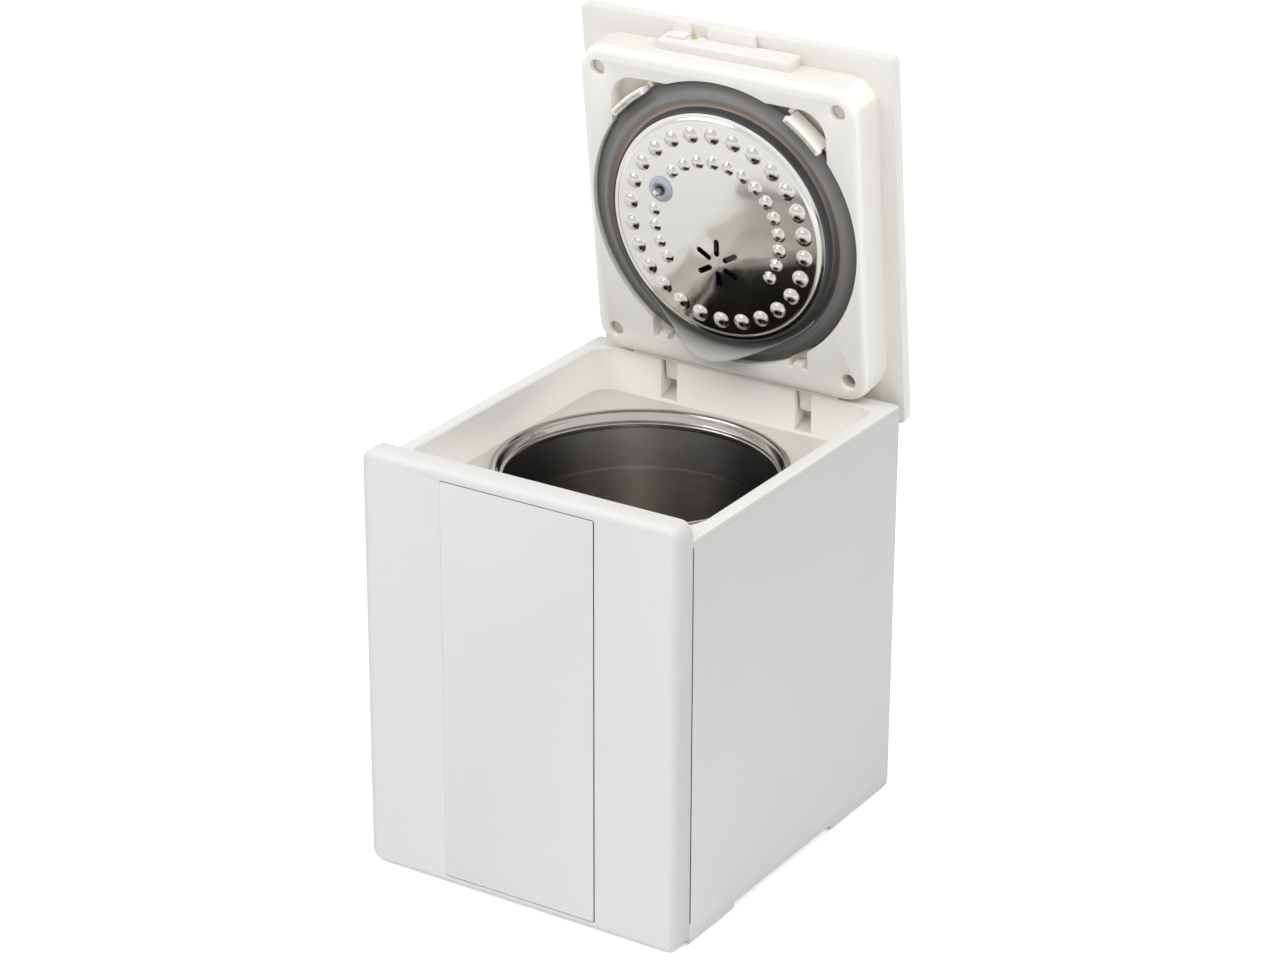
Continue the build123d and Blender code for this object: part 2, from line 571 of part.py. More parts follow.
# Body shell: four walls with screw bosses, inlet hole and the gap for the hinge block
with BuildPart() as body_shell:
    with BuildSketch(Plane((0, BODY_MID_Y, BASE_SEAM))):
        Rectangle(BODY_WIDTH, BODY_LENGTH)
    extrude(amount=SHELL_TOP - BASE_SEAM)
    fillet(body_shell.edges().filter_by(Axis.Z).group_by(Axis.Y)[-1], BODY_CORNER)
    with BuildSketch(Plane((0, BODY_MID_Y, BASE_SEAM))):
        Rectangle(BODY_WIDTH - 2 * SHELL_WALL, BODY_LENGTH - 2 * SHELL_WALL)
    extrude(amount=SHELL_TOP - BASE_SEAM, mode=Mode.SUBTRACT)
    for foot_y, foot_length in FEET:
        with BuildSketch(Plane((0, foot_y, PAN_TOP))):
            with GridLocations(2 * BASE_SCREW_X, 0, 2, 1):
                Circle(BASE_BOSS_RADIUS)
        extrude(amount=BASE_BOSS_HEIGHT)
        with BuildSketch(Plane((0, foot_y, BASE_SEAM))):
            rib_length = BASE_SCREW_INSET - SHELL_WALL / 2
            with GridLocations(2 * BASE_SCREW_X + rib_length, 0, 2, 1):
                Rectangle(rib_length, RIB_THICKNESS)
        extrude(amount=PAN_TOP + BASE_BOSS_HEIGHT - BASE_SEAM)
        with BuildSketch(Plane((0, foot_y, PAN_TOP))):
            with GridLocations(2 * BASE_SCREW_X, 0, 2, 1):
                Circle(SCREW_RADIUS + FIT_GAP)
        extrude(amount=BASE_HEAD_Z + BASE_SCREW_LENGTH + FIT_GAP - PAN_TOP, mode=Mode.SUBTRACT)
    with BuildSketch(front_plane(BACK_Y)):
        with Locations((0, (SHELL_TOP + HINGE_BLOCK_Z) / 2)):
            Rectangle(HINGE_BLOCK_WIDTH, SHELL_TOP - HINGE_BLOCK_Z)
        with Locations((INLET_X, INLET_Z)):
            RectangleRounded(INLET_WIDTH, INLET_HEIGHT, INLET_CORNER)
    extrude(amount=SHELL_WALL, mode=Mode.SUBTRACT)
    with BuildSketch(front_plane(PANEL_BACK_Y)):
        with Locations((0, DISPLAY_Z)):
            Rectangle(HARNESS_HOLE_WIDTH, HARNESS_HOLE_HEIGHT)
        with Locations(*PANEL_SCREWS):
            Circle(SCREW_RADIUS + FIT_GAP)
    extrude(amount=-SHELL_WALL, mode=Mode.SUBTRACT)
    with BuildSketch(front_plane(PANEL_BACK_Y)):
        with Locations((0, DISPLAY_Z)):
            with GridLocations(
                DISPLAY_BOARD_WIDTH - 2 * DISPLAY_STANDOFF_INSET,
                DISPLAY_BOARD_HEIGHT - 2 * DISPLAY_STANDOFF_INSET,
                2,
                2,
            ):
                Circle(DISPLAY_STANDOFF_RADIUS)
    extrude(amount=DISPLAY_STANDOFF)
write(body_shell, "body_shell")

# Front panel: thick rounded slab with a shallow bed for the window and a cavity for the display
with BuildPart() as front_panel:
    with BuildSketch(front_plane(PANEL_BACK_Y)):
        with Locations((0, (PANEL_TOP + PANEL_FLOOR_GAP) / 2)):
            RectangleRounded(BODY_WIDTH, PANEL_TOP - PANEL_FLOOR_GAP, PANEL_CORNER)
    extrude(amount=PANEL_THICKNESS)
    fillet(front_panel.faces().sort_by(Axis.Y)[0].edges(), PANEL_EDGE)
    with BuildSketch(front_plane(FRONT_Y)):
        with Locations((0, WINDOW_Z)):
            RectangleRounded(WINDOW_WIDTH, WINDOW_HEIGHT, WINDOW_CORNER + WINDOW_GAP)
    extrude(amount=-WINDOW_DEPTH, mode=Mode.SUBTRACT)
    with BuildSketch(front_plane(PANEL_BACK_Y)):
        with Locations((0, DISPLAY_Z)):
            Rectangle(DISPLAY_CAVITY_WIDTH, DISPLAY_CAVITY_HEIGHT)
    extrude(amount=PANEL_THICKNESS - WINDOW_DEPTH, mode=Mode.SUBTRACT)
    with BuildSketch(front_plane(PANEL_BACK_Y)):
        with Locations(*PANEL_SCREWS):
            Circle(SCREW_RADIUS + FIT_GAP)
    extrude(amount=PANEL_SCREW_DEPTH, mode=Mode.SUBTRACT)
    with BuildSketch(front_plane(PANEL_BACK_Y)):
        with Locations((0, RIM_HEIGHT + HOOK_UNDER + HOOK_THICKNESS / 2)):
            Rectangle(STRIKE_WIDTH + 2 * STRIKE_POCKET_GAP, STRIKE_HEIGHT + 2 * STRIKE_POCKET_GAP)
    extrude(amount=STRIKE_THICKNESS + HOOK_TIP_GAP, mode=Mode.SUBTRACT)
write(front_panel, "front_panel")

# Touch window, flush with the panel
with BuildPart() as touch_panel:
    with BuildSketch(front_plane(WINDOW_FLOOR_Y)):
        with Locations((0, WINDOW_Z)):
            RectangleRounded(WINDOW_WIDTH - 2 * WINDOW_GAP, WINDOW_HEIGHT - 2 * WINDOW_GAP, WINDOW_CORNER)
    extrude(amount=WINDOW_DEPTH)
write(touch_panel, "touch_panel")

# Display board behind the window
with BuildPart() as display_board:
    with BuildSketch(front_plane(DISPLAY_BOARD_Y)):
        with Locations((0, DISPLAY_Z)):
            Rectangle(DISPLAY_BOARD_WIDTH, DISPLAY_BOARD_HEIGHT)
    extrude(amount=BOARD_THICKNESS)
write(display_board, "display_board")

# Display block and touch springs between the board and the window
with BuildPart() as display_module:
    module_depth = DISPLAY_BOARD_Y - BOARD_THICKNESS - WINDOW_FLOOR_Y
    with BuildSketch(front_plane(DISPLAY_BOARD_Y - BOARD_THICKNESS)):
        with Locations((0, DISPLAY_Z + DISPLAY_CAVITY_HEIGHT / 4)):
            Rectangle(DISPLAY_MODULE_WIDTH, DISPLAY_MODULE_HEIGHT)
        with Locations((0, DISPLAY_Z - DISPLAY_CAVITY_HEIGHT / 8)):
            with GridLocations(KEY_PAD_PITCH, KEY_PAD_PITCH, 3, 2):
                Circle(KEY_PAD_RADIUS)
    extrude(amount=module_depth)
write(display_module, "display_module")

# Screws through the shell's front wall into the panel
with BuildPart() as panel_screws:
    with BuildSketch(front_plane(PANEL_BACK_Y + SHELL_WALL)):
        with Locations(*PANEL_SCREWS):
            Circle(SCREW_HEAD_RADIUS)
    extrude(amount=-SCREW_HEAD_HEIGHT)
    with BuildSketch(front_plane(PANEL_BACK_Y + SHELL_WALL)):
        with Locations(*PANEL_SCREWS):
            Circle(SCREW_RADIUS)
    extrude(amount=SHELL_WALL + PANEL_SCREW_DEPTH - FIT_GAP)
write(panel_screws, "panel_screws")

# Upper frame: flat rim, recess for the lid, deck round the pot and the hinge block
with BuildPart() as upper_frame:
    with BuildSketch(Plane((0, BODY_MID_Y, SHELL_TOP))):
        Rectangle(BODY_WIDTH, BODY_LENGTH)
    extrude(amount=RIM_THICKNESS)
    fillet(upper_frame.edges().filter_by(Axis.Z).group_by(Axis.Y)[-1], BODY_CORNER)
    with BuildSketch(Plane((0, RECESS_MID_Y, DECK_UNDER_Z))) as recess_outside:
        Rectangle(RECESS_WIDTH + 2 * FRAME_WALL, RECESS_LENGTH + 2 * FRAME_WALL)
        fillet(recess_outside.vertices().group_by(Axis.Y)[0], RECESS_FRONT_CORNER + FRAME_WALL)
        fillet(recess_outside.vertices().group_by(Axis.Y)[-1], RECESS_CORNER + FRAME_WALL)
    extrude(amount=SHELL_TOP - DECK_UNDER_Z)
    with BuildSketch(Plane((0, (RECESS_REAR_Y + BACK_Y) / 2, HINGE_BLOCK_Z))):
        Rectangle(HINGE_BLOCK_WIDTH - 2 * FIT_GAP, REAR_RIM_WIDTH)
    extrude(amount=SHELL_TOP - HINGE_BLOCK_Z)
    with BuildSketch(Plane((0, RECESS_MID_Y, DECK_Z))) as recess_inside:
        Rectangle(RECESS_WIDTH, RECESS_LENGTH)
        fillet(recess_inside.vertices().group_by(Axis.Y)[0], RECESS_FRONT_CORNER)
        fillet(recess_inside.vertices().group_by(Axis.Y)[-1], RECESS_CORNER)
    extrude(amount=DECK_DROP, mode=Mode.SUBTRACT)
    rim_face = upper_frame.faces().sort_by(Axis.Z)[-1]
    rim_rear = rim_face.inner_wires()[0].edges().sort_by(Axis.Y)[-1]
    fillet(rim_rear, RIM_INNER_FILLET)
    rim_face = upper_frame.faces().sort_by(Axis.Z)[-1]
    fillet(rim_face.outer_wire().edges().sort_by(Axis.Y)[1:], RIM_FILLET)
    with BuildSketch(pot_level(DECK_UNDER_Z)):
        Circle(WELL_RADIUS)
    extrude(amount=DECK_THICKNESS, mode=Mode.SUBTRACT)
    for side in SIDES:
        with BuildSketch(Plane(origin=(side * HINGE_X, 0, 0), x_dir=(0, 1, 0), z_dir=(1, 0, 0))):
            slot_back = HINGE_Y + KNUCKLE_RADIUS + KNUCKLE_GAP
            with BuildLine():
                Polyline(
                    (RECESS_REAR_Y, RIM_HEIGHT),
                    (slot_back, RIM_HEIGHT),
                    (slot_back, RIM_HEIGHT - SLOT_DEPTH),
                    (RECESS_REAR_Y, RIM_HEIGHT - SLOT_DEPTH - SLOT_SLOPE),
                    close=True,
                )
            make_face()
        extrude(amount=SLOT_WIDTH / 2, both=True, mode=Mode.SUBTRACT)
        with BuildSketch(Plane(origin=(side * HINGE_X, 0, 0), x_dir=(0, 1, 0), z_dir=(1, 0, 0))):
            with Locations((HINGE_Y, HINGE_Z)):
                Circle(PIN_RADIUS + PIN_RUNNING)
        extrude(amount=SLOT_WIDTH / 2 + PIN_BEARING, both=True, mode=Mode.SUBTRACT)
    with BuildSketch(Plane((0, HINGE_Y, HINGE_BLOCK_Z))):
        Rectangle(SPRING_CAVITY, 2 * KNUCKLE_RADIUS)
    extrude(amount=HINGE_BLOCK_HEIGHT - RIM_THICKNESS, mode=Mode.SUBTRACT)
    with BuildSketch(Plane((0, PANEL_BACK_Y, RIM_HEIGHT))):
        notch_length = RECESS_FRONT_Y - PANEL_BACK_Y
        with Locations((0, notch_length / 2)):
            Rectangle(HOOK_WIDTH + 2 * NOTCH_GAP, notch_length)
        with Locations((LATCH_TAB_X, notch_length / 2)):
            Rectangle(LATCH_TAB_WIDTH + 2 * NOTCH_GAP, notch_length)
    extrude(amount=HOOK_UNDER - HOOK_GUIDE_GAP, mode=Mode.SUBTRACT)
write(upper_frame, "upper_frame")

# Ring on the deck that the pot's rim rests on
with BuildPart() as pot_seat_ring:
    with BuildSketch(pot_level(DECK_Z)):
        Circle(SEAT_RADIUS)
        Circle(WELL_RADIUS, mode=Mode.SUBTRACT)
    extrude(amount=SEAT_TOP_Z - DECK_Z)
write(pot_seat_ring, "pot_seat_ring")

# Well round the pot, hung under the deck
with BuildPart() as pot_well:
    with BuildSketch(pot_level(WELL_FLOOR_Z - WELL_WALL)):
        Circle(WELL_RADIUS + WELL_WALL)
    extrude(amount=DECK_UNDER_Z - WELL_FLOOR_Z + WELL_WALL)
    with BuildSketch(pot_level(DECK_UNDER_Z - WELL_WALL)):
        Circle(WELL_RADIUS + WELL_FLANGE)
    extrude(amount=WELL_WALL)
    with BuildSketch(pot_level(WELL_FLOOR_Z)):
        Circle(WELL_RADIUS)
    extrude(amount=DECK_UNDER_Z - WELL_FLOOR_Z, mode=Mode.SUBTRACT)
    with BuildSketch(pot_level(WELL_FLOOR_Z)):
        Circle(GUIDE_RADIUS + FIT_GAP)
    extrude(amount=-WELL_WALL, mode=Mode.SUBTRACT)
write(pot_well, "pot_well")

# Warming band wrapped round the well
with BuildPart() as side_heater_band:
    with BuildSketch(pot_level(DECK_Z - BAND_DROP)):
        Circle(WELL_RADIUS + WELL_WALL + FIT_GAP + BAND_THICKNESS)
        Circle(WELL_RADIUS + WELL_WALL + FIT_GAP, mode=Mode.SUBTRACT)
    extrude(amount=-BAND_HEIGHT)
write(side_heater_band, "side_heater_band")

# Heater plate under the pot
with BuildPart() as heater_plate:
    with BuildSketch(pot_level(HEATER_UNDER_Z)):
        Circle(HEATER_RADIUS)
        Circle(SENSOR_RADIUS + SENSOR_CLEARANCE, mode=Mode.SUBTRACT)
    extrude(amount=HEATER_THICKNESS)
    fillet(heater_plate.edges().filter_by(GeomType.CIRCLE).sort_by(SortBy.RADIUS)[-2:], HEATER_EDGE)
write(heater_plate, "heater_plate")

# Tube heating element against the plate's underside
with BuildPart() as heater_element:
    with BuildSketch(pot_section(HEATER_UNDER_Z - ELEMENT_RADIUS - FIT_GAP)):
        with Locations((ELEMENT_RING_RADIUS, 0)):
            Circle(ELEMENT_RADIUS)
    revolve(axis=POT_AXIS)
write(heater_element, "heater_element")

# Posts that carry the heater plate
with BuildPart() as heater_posts:
    with BuildSketch(pot_level(WELL_FLOOR_Z)):
        with PolarLocations(POST_RING_RADIUS, POST_COUNT, start_angle=90):
            Circle(POST_RADIUS)
    extrude(amount=POST_HEIGHT)
write(heater_posts, "heater_posts")

# Sprung temperature sensor in the middle of the plate
with BuildPart() as sensor_guide:
    with BuildSketch(pot_level(WELL_FLOOR_Z)):
        Circle(GUIDE_FLANGE_RADIUS)
    extrude(amount=GUIDE_FLANGE)
    with BuildSketch(pot_level(WELL_FLOOR_Z)):
        Circle(GUIDE_RADIUS)
    extrude(amount=-GUIDE_LENGTH)
    with BuildSketch(pot_level(GUIDE_TOP_Z)):
        Circle(STEM_RADIUS + STEM_RUNNING)
    extrude(amount=-GUIDE_FLANGE - GUIDE_LENGTH, mode=Mode.SUBTRACT)
write(sensor_guide, "sensor_guide")

with BuildPart() as sensor_cap:
    with BuildSketch(pot_level(SENSOR_UNDER_Z)):
        Circle(SENSOR_RADIUS)
    extrude(amount=SENSOR_HEIGHT)
    fillet(sensor_cap.faces().sort_by(Axis.Z)[-1].edges(), HEATER_EDGE)
write(sensor_cap, "sensor_cap")

with BuildPart() as sensor_stem:
    with BuildSketch(pot_level(SENSOR_UNDER_Z)):
        Circle(STEM_RADIUS)
    extrude(amount=-STEM_LENGTH)
write(sensor_stem, "sensor_stem")

with BuildPart() as sensor_spring:
    with BuildSketch(pot_level(GUIDE_TOP_Z)):
        Circle(STEM_RADIUS + SPRING_CLEARANCE + SPRING_WALL)
        Circle(STEM_RADIUS + SPRING_CLEARANCE, mode=Mode.SUBTRACT)
    extrude(amount=SENSOR_UNDER_Z - GUIDE_TOP_Z)
write(sensor_spring, "sensor_spring")

# Thermal fuse under the well
with BuildPart() as thermal_fuse:
    fuse_z = WELL_FLOOR_Z - WELL_WALL - FUSE_RADIUS - FIT_GAP
    with BuildSketch(Plane(origin=(FUSE_RING_RADIUS, POT_Y, fuse_z), x_dir=(1, 0, 0), z_dir=(0, 1, 0))):
        Circle(FUSE_RADIUS)
    extrude(amount=FUSE_LENGTH / 2, both=True)
write(thermal_fuse, "thermal_fuse")

# Main board and what stands on it
with BuildPart() as main_board:
    with BuildSketch(Plane((0, BOARD_Y, BOARD_Z))):
        Rectangle(BOARD_WIDTH, BOARD_LENGTH)
    extrude(amount=BOARD_THICKNESS)
write(main_board, "main_board")

with BuildPart() as board_parts:
    for spot, size in (
        (TRANSFORMER_SPOT, TRANSFORMER_SIZE),
        (RELAY_SPOT, RELAY_SIZE),
        (SINK_SPOT, SINK_SIZE),
    ):
        with BuildSketch(Plane((spot[0], BOARD_Y + spot[1], BOARD_TOP))):
            Rectangle(size[0], size[1])
        extrude(amount=size[2])
    with BuildSketch(Plane((0, BOARD_Y, BOARD_TOP))):
        with Locations(*CAPACITOR_SPOTS):
            Circle(CAPACITOR_RADIUS)
    extrude(amount=CAPACITOR_HEIGHT)
write(board_parts, "board_parts")

with BuildPart() as buzzer:
    with BuildSketch(Plane((BUZZER_SPOT[0], BOARD_Y + BUZZER_SPOT[1], BOARD_TOP))):
        Circle(BUZZER_RADIUS)
    extrude(amount=BUZZER_HEIGHT)
write(buzzer, "buzzer")

# Power inlet: a box with a socket that opens at the back, and its two prongs
with BuildPart() as power_inlet:
    with BuildSketch(front_plane(BACK_Y)):
        with Locations((INLET_X, INLET_Z)):
            RectangleRounded(INLET_WIDTH - 2 * FIT_GAP, INLET_HEIGHT - 2 * FIT_GAP, INLET_CORNER - FIT_GAP)
    extrude(amount=INLET_DEPTH)
    with BuildSketch(front_plane(BACK_Y - SHELL_WALL)):
        with Locations((INLET_X, INLET_Z)):
            RectangleRounded(INLET_WIDTH + 2 * INLET_FLANGE, INLET_HEIGHT + 2 * INLET_FLANGE, INLET_CORNER)
    extrude(amount=INLET_WALL)
    with BuildSketch(front_plane(BACK_Y)):
        with Locations((INLET_X, INLET_Z)):
            RectangleRounded(INLET_WIDTH - 2 * INLET_WALL, INLET_HEIGHT - 2 * INLET_WALL, INLET_CORNER)
    extrude(amount=SOCKET_DEPTH, mode=Mode.SUBTRACT)
write(power_inlet, "power_inlet")

with BuildPart() as inlet_prongs:
    with BuildSketch(front_plane(BACK_Y - SOCKET_DEPTH)):
        with Locations((INLET_X, INLET_Z)):
            with GridLocations(PRONG_PITCH, 0, 2, 1):
                Circle(PRONG_RADIUS)
    extrude(amount=-PRONG_LENGTH)
write(inlet_prongs, "inlet_prongs")

# Hinge pins in the rear wall, and the spring that opens the lid
with BuildPart() as hinge_pins:
    for side in SIDES:
        with BuildSketch(Plane(origin=(side * HINGE_X, 0, 0), x_dir=(0, 1, 0), z_dir=(1, 0, 0))):
            with Locations((HINGE_Y, HINGE_Z)):
                Circle(PIN_RADIUS)
        extrude(amount=SLOT_WIDTH / 2 + PIN_BEARING, both=True)
write(hinge_pins, "hinge_pins")

with BuildPart() as lid_spring:
    with BuildSketch(Plane(origin=(0, HINGE_Y, HINGE_Z), x_dir=(0, 1, 0), z_dir=(1, 0, 0))):
        Circle(KNUCKLE_RADIUS - FIT_GAP)
        Circle(PIN_RADIUS, mode=Mode.SUBTRACT)
    extrude(amount=SPRING_CAVITY / 2, both=True)
write(lid_spring, "lid_spring")

# Steel strike let into the back of the front panel
with BuildPart() as latch_strike:
    with BuildSketch(front_plane(PANEL_BACK_Y - HOOK_TIP_GAP)):
        with Locations((0, RIM_HEIGHT + HOOK_UNDER + HOOK_THICKNESS / 2)):
            Rectangle(STRIKE_WIDTH, STRIKE_HEIGHT)
    extrude(amount=STRIKE_THICKNESS)
write(latch_strike, "latch_strike")

# Cooking pot: tapered bowl with a rolled, stepped rim
with BuildPart() as pot:
    with BuildSketch(pot_section(POT_RIM_Z)):
        with BuildLine():
            wall_top = -POT_STEP_DROP - 2 * POT_WALL
            foot_top = -POT_HEIGHT + POT_CORNER
            mouth = POT_MOUTH_RADIUS + POT_WALL
            foot_in = POT_FOOT_RADIUS - POT_CORNER
            Polyline(
                (0, -POT_HEIGHT + POT_WALL),
                (0, -POT_HEIGHT),
                (foot_in, -POT_HEIGHT),
            )
            outer_corner = TangentArc((foot_in, -POT_HEIGHT), (POT_FOOT_RADIUS, foot_top), tangent=(1, 0))
            Polyline(
                outer_corner @ 1,
                (mouth, wall_top),
                (POT_STEP_RADIUS + POT_WALL, -POT_STEP_DROP),
                (POT_STEP_RADIUS + POT_WALL, -POT_RIM_THICKNESS),
                (POT_RIM_RADIUS - POT_RIM_ROUND, -POT_RIM_THICKNESS),
            )
            ThreePointArc(
                (POT_RIM_RADIUS - POT_RIM_ROUND, -POT_RIM_THICKNESS),
                (POT_RIM_RADIUS, -POT_RIM_THICKNESS / 2),
                (POT_RIM_RADIUS - POT_RIM_ROUND, 0),
            )
            Polyline(
                (POT_RIM_RADIUS - POT_RIM_ROUND, 0),
                (POT_STEP_RADIUS + POT_RIM_ROUND, 0),
                (POT_STEP_RADIUS, -POT_RIM_ROUND),
                (POT_STEP_RADIUS, -POT_STEP_DROP),
                (POT_MOUTH_RADIUS + POT_RIM_ROUND, -POT_STEP_DROP),
                (POT_MOUTH_RADIUS, -POT_STEP_DROP - POT_RIM_ROUND),
                (POT_MOUTH_RADIUS, wall_top),
                (POT_FOOT_RADIUS - POT_WALL, foot_top),
            )
            floor_edge = (foot_in, -POT_HEIGHT + POT_WALL)
            TangentArc(floor_edge, (POT_FOOT_RADIUS - POT_WALL, foot_top), tangent=(1, 0))
            Line(floor_edge, (0, -POT_HEIGHT + POT_WALL))
        make_face()
    revolve(axis=POT_AXIS)
write(pot, "pot")

# Lid cover: the thin outer slab with holes for the steam cap and the button
with BuildPart() as lid_cover:
    with BuildSketch(LID.offset(LID_BASE_TOP)):
        with Locations((0, LID_MID_Y)):
            RectangleRounded(LID_WIDTH, LID_LENGTH, LID_CORNER)
    extrude(amount=LID_COVER_HEIGHT)
    fillet(lid_cover.faces().sort_by(LID_AXIS)[-1].edges(), LID_EDGE)
    with BuildSketch(LID.offset(LID_BASE_TOP)):
        with Locations((0, LID_MID_Y)):
            Rectangle(LID_WIDTH - 2 * LID_SKIN, LID_LENGTH - 2 * LID_SKIN)
    extrude(amount=LID_COVER_HEIGHT - LID_SKIN, mode=Mode.SUBTRACT)
    with BuildSketch(LID.offset(LID_TOP)):
        with Locations((0, STEAM_Y)):
            Circle(CAP_RADIUS + CAP_GAP)
        with Locations((0, BUTTON_Y)):
            SlotOverall(BUTTON_WIDTH + 2 * BUTTON_GAP, BUTTON_LENGTH + 2 * BUTTON_GAP)
    extrude(amount=-LID_SKIN, mode=Mode.SUBTRACT)
write(lid_cover, "lid_cover")

# Lid base: the inner plate under the cover, with screw bosses
with BuildPart() as lid_base:
    with BuildSketch(LID.offset(LID_GAP)):
        with Locations((0, LID_MID_Y)):
            RectangleRounded(LID_WIDTH - 2 * LID_BASE_INSET, LID_LENGTH - 2 * LID_BASE_INSET, LID_CORNER)
    extrude(amount=LID_BASE_THICKNESS)
    with BuildSketch(LID.offset(LID_BASE_TOP)):
        with Locations(*LID_SCREWS):
            Circle(LID_BOSS_RADIUS)
    extrude(amount=LID_BOSS_HEIGHT)
    with BuildSketch(LID.offset(LID_GAP)):
        with Locations(*LID_SCREWS):
            Circle(SCREW_RADIUS + FIT_GAP)
    extrude(amount=LID_BASE_THICKNESS + LID_BOSS_HEIGHT / 2, mode=Mode.SUBTRACT)
    with BuildSketch(LID.offset(LID_GAP)):
        with Locations((0, STEAM_Y)):
            Circle(DUCT_RADIUS + FIT_GAP)
        with Locations((0, BUTTON_Y)):
            Rectangle(BUTTON_STEM_WIDTH + 2 * BUTTON_GAP, BUTTON_STEM_LENGTH + 2 * BUTTON_GAP)
    extrude(amount=LID_BASE_THICKNESS, mode=Mode.SUBTRACT)
write(lid_base, "lid_base")

# Lid frame: deep moulding with the round pocket, catch pockets, ears, hooks and hinge arms
with BuildPart() as lid_frame:
    with BuildSketch(LID.offset(-FRAME_DEPTH)):
        RectangleRounded(FRAME_WIDTH, FRAME_LENGTH, FRAME_CORNER)
    extrude(amount=FRAME_DEPTH + LID_GAP)
    fillet(lid_frame.faces().sort_by(LID_AXIS)[0].edges(), FRAME_EDGE)
    with BuildSketch(LID.offset(LID_GAP)):
        RectangleRounded(
            FRAME_WIDTH - 2 * LID_FRAME_WALL,
            FRAME_LENGTH - 2 * LID_FRAME_WALL,
            FRAME_CORNER - LID_FRAME_WALL,
        )
    extrude(amount=-LID_GAP - CAVITY_FLOOR, mode=Mode.SUBTRACT)
    with BuildSketch(LID.offset(-CAVITY_FLOOR)):
        with Locations(*LID_SCREWS):
            Circle(LID_BOSS_RADIUS)
    extrude(amount=CAVITY_FLOOR + LID_GAP)
    with BuildSketch(LID.offset(-FRAME_DEPTH)):
        Circle(POCKET_RADIUS)
        with Locations((0, -CATCH_POCKET_REACH / 2)):
            RectangleRounded(CATCH_POCKET_WIDTH, CATCH_POCKET_REACH, CATCH_POCKET_CORNER)
    extrude(amount=FRAME_DEPTH - POCKET_FLOOR, mode=Mode.SUBTRACT)
    with BuildSketch(LID.offset(-FRAME_DEPTH)):
        with Locations(*LID_SCREWS):
            Circle(LID_SCREW_BORE)
    extrude(amount=LID_SCREW_SINK, mode=Mode.SUBTRACT)
    with BuildSketch(LID.offset(-FRAME_DEPTH)):
        with Locations((-HOOK_POCKET_X, HOOK_POCKET_Y), (HOOK_POCKET_X, HOOK_POCKET_Y)):
            Rectangle(HOOK_POCKET_WIDTH, HOOK_POCKET_LENGTH)
    extrude(amount=HOOK_POCKET_DEPTH, mode=Mode.SUBTRACT)
    with BuildSketch(LID.offset(-FRAME_DEPTH)):
        with Locations(*LID_SCREWS):
            Circle(SCREW_RADIUS + FIT_GAP)
    extrude(amount=FRAME_DEPTH + LID_GAP, mode=Mode.SUBTRACT)
    with BuildSketch(LID.offset(-FRAME_DEPTH + HOOK_POCKET_DEPTH)):
        hook_y = HOOK_POCKET_Y + (HOOK_POCKET_LENGTH - FIXED_HOOK_LENGTH) / 2
        with Locations((-HOOK_POCKET_X, hook_y), (HOOK_POCKET_X, hook_y)):
            Rectangle(FIXED_HOOK_WIDTH, FIXED_HOOK_LENGTH)
    extrude(amount=-HOOK_POCKET_DEPTH)
    with BuildSketch(LID.offset(-POCKET_FLOOR)):
        with Locations((0, STEAM_Y)):
            Circle(DUCT_RADIUS + FIT_GAP)
    extrude(amount=POCKET_SKIN, mode=Mode.SUBTRACT)
    with BuildSketch(LID.offset(LID_GAP)):
        with Locations((0, FRAME_FRONT_Y + LID_FRAME_WALL / 2)):
            Rectangle(HOOK_WIDTH + 2 * HOOK_GUIDE_GAP, LID_FRAME_WALL)
    extrude(amount=HOOK_UNDER - HOOK_GUIDE_GAP - LID_GAP, mode=Mode.SUBTRACT)
    for side in SIDES:
        for end in SIDES:
            with BuildSketch(catch_plane(side)):
                with Locations((end * (CATCH_LENGTH + EAR_WIDTH + 2 * EAR_GAP) / 2, -CATCH_PIVOT_DEPTH)):
                    Rectangle(EAR_WIDTH, 2 * (CATCH_PIVOT_DEPTH - POCKET_FLOOR))
            extrude(amount=CATCH_THICKNESS)
        with BuildSketch(catch_pivot(side)):
            Circle(CATCH_PIN_RADIUS + PIN_RUNNING)
        extrude(amount=CATCH_LENGTH / 2 + EAR_GAP + EAR_WIDTH, both=True, mode=Mode.SUBTRACT)
        with BuildSketch(LID_SIDE.offset(side * HINGE_X)):
            arm_length = HINGE_REACH - FRAME_REAR_Y + LID_FRAME_WALL
            with Locations((HINGE_REACH, -HINGE_DROP)):
                Circle(KNUCKLE_RADIUS)
            with Locations((HINGE_REACH - arm_length / 2, -HINGE_DROP)):
                Rectangle(arm_length, 2 * KNUCKLE_RADIUS)
        extrude(amount=ARM_WIDTH / 2, both=True)
        with BuildSketch(LID_SIDE.offset(side * HINGE_X)):
            with Locations((HINGE_REACH, -HINGE_DROP)):
                Circle(PIN_RADIUS + PIN_RUNNING)
        extrude(amount=ARM_WIDTH / 2, both=True, mode=Mode.SUBTRACT)
write(lid_frame, "lid_frame")

# Screws that hold the lid together
with BuildPart() as lid_screws:
    head_z = -FRAME_DEPTH + LID_SCREW_SINK
    with BuildSketch(LID.offset(head_z)):
        with Locations(*LID_SCREWS):
            Circle(SCREW_HEAD_RADIUS)
    extrude(amount=-SCREW_HEAD_HEIGHT)
    with BuildSketch(LID.offset(head_z)):
        with Locations(*LID_SCREWS):
            Circle(SCREW_RADIUS)
    extrude(amount=LID_BASE_TOP + LID_BOSS_HEIGHT / 2 - FIT_GAP - head_z)
write(lid_screws, "lid_screws")

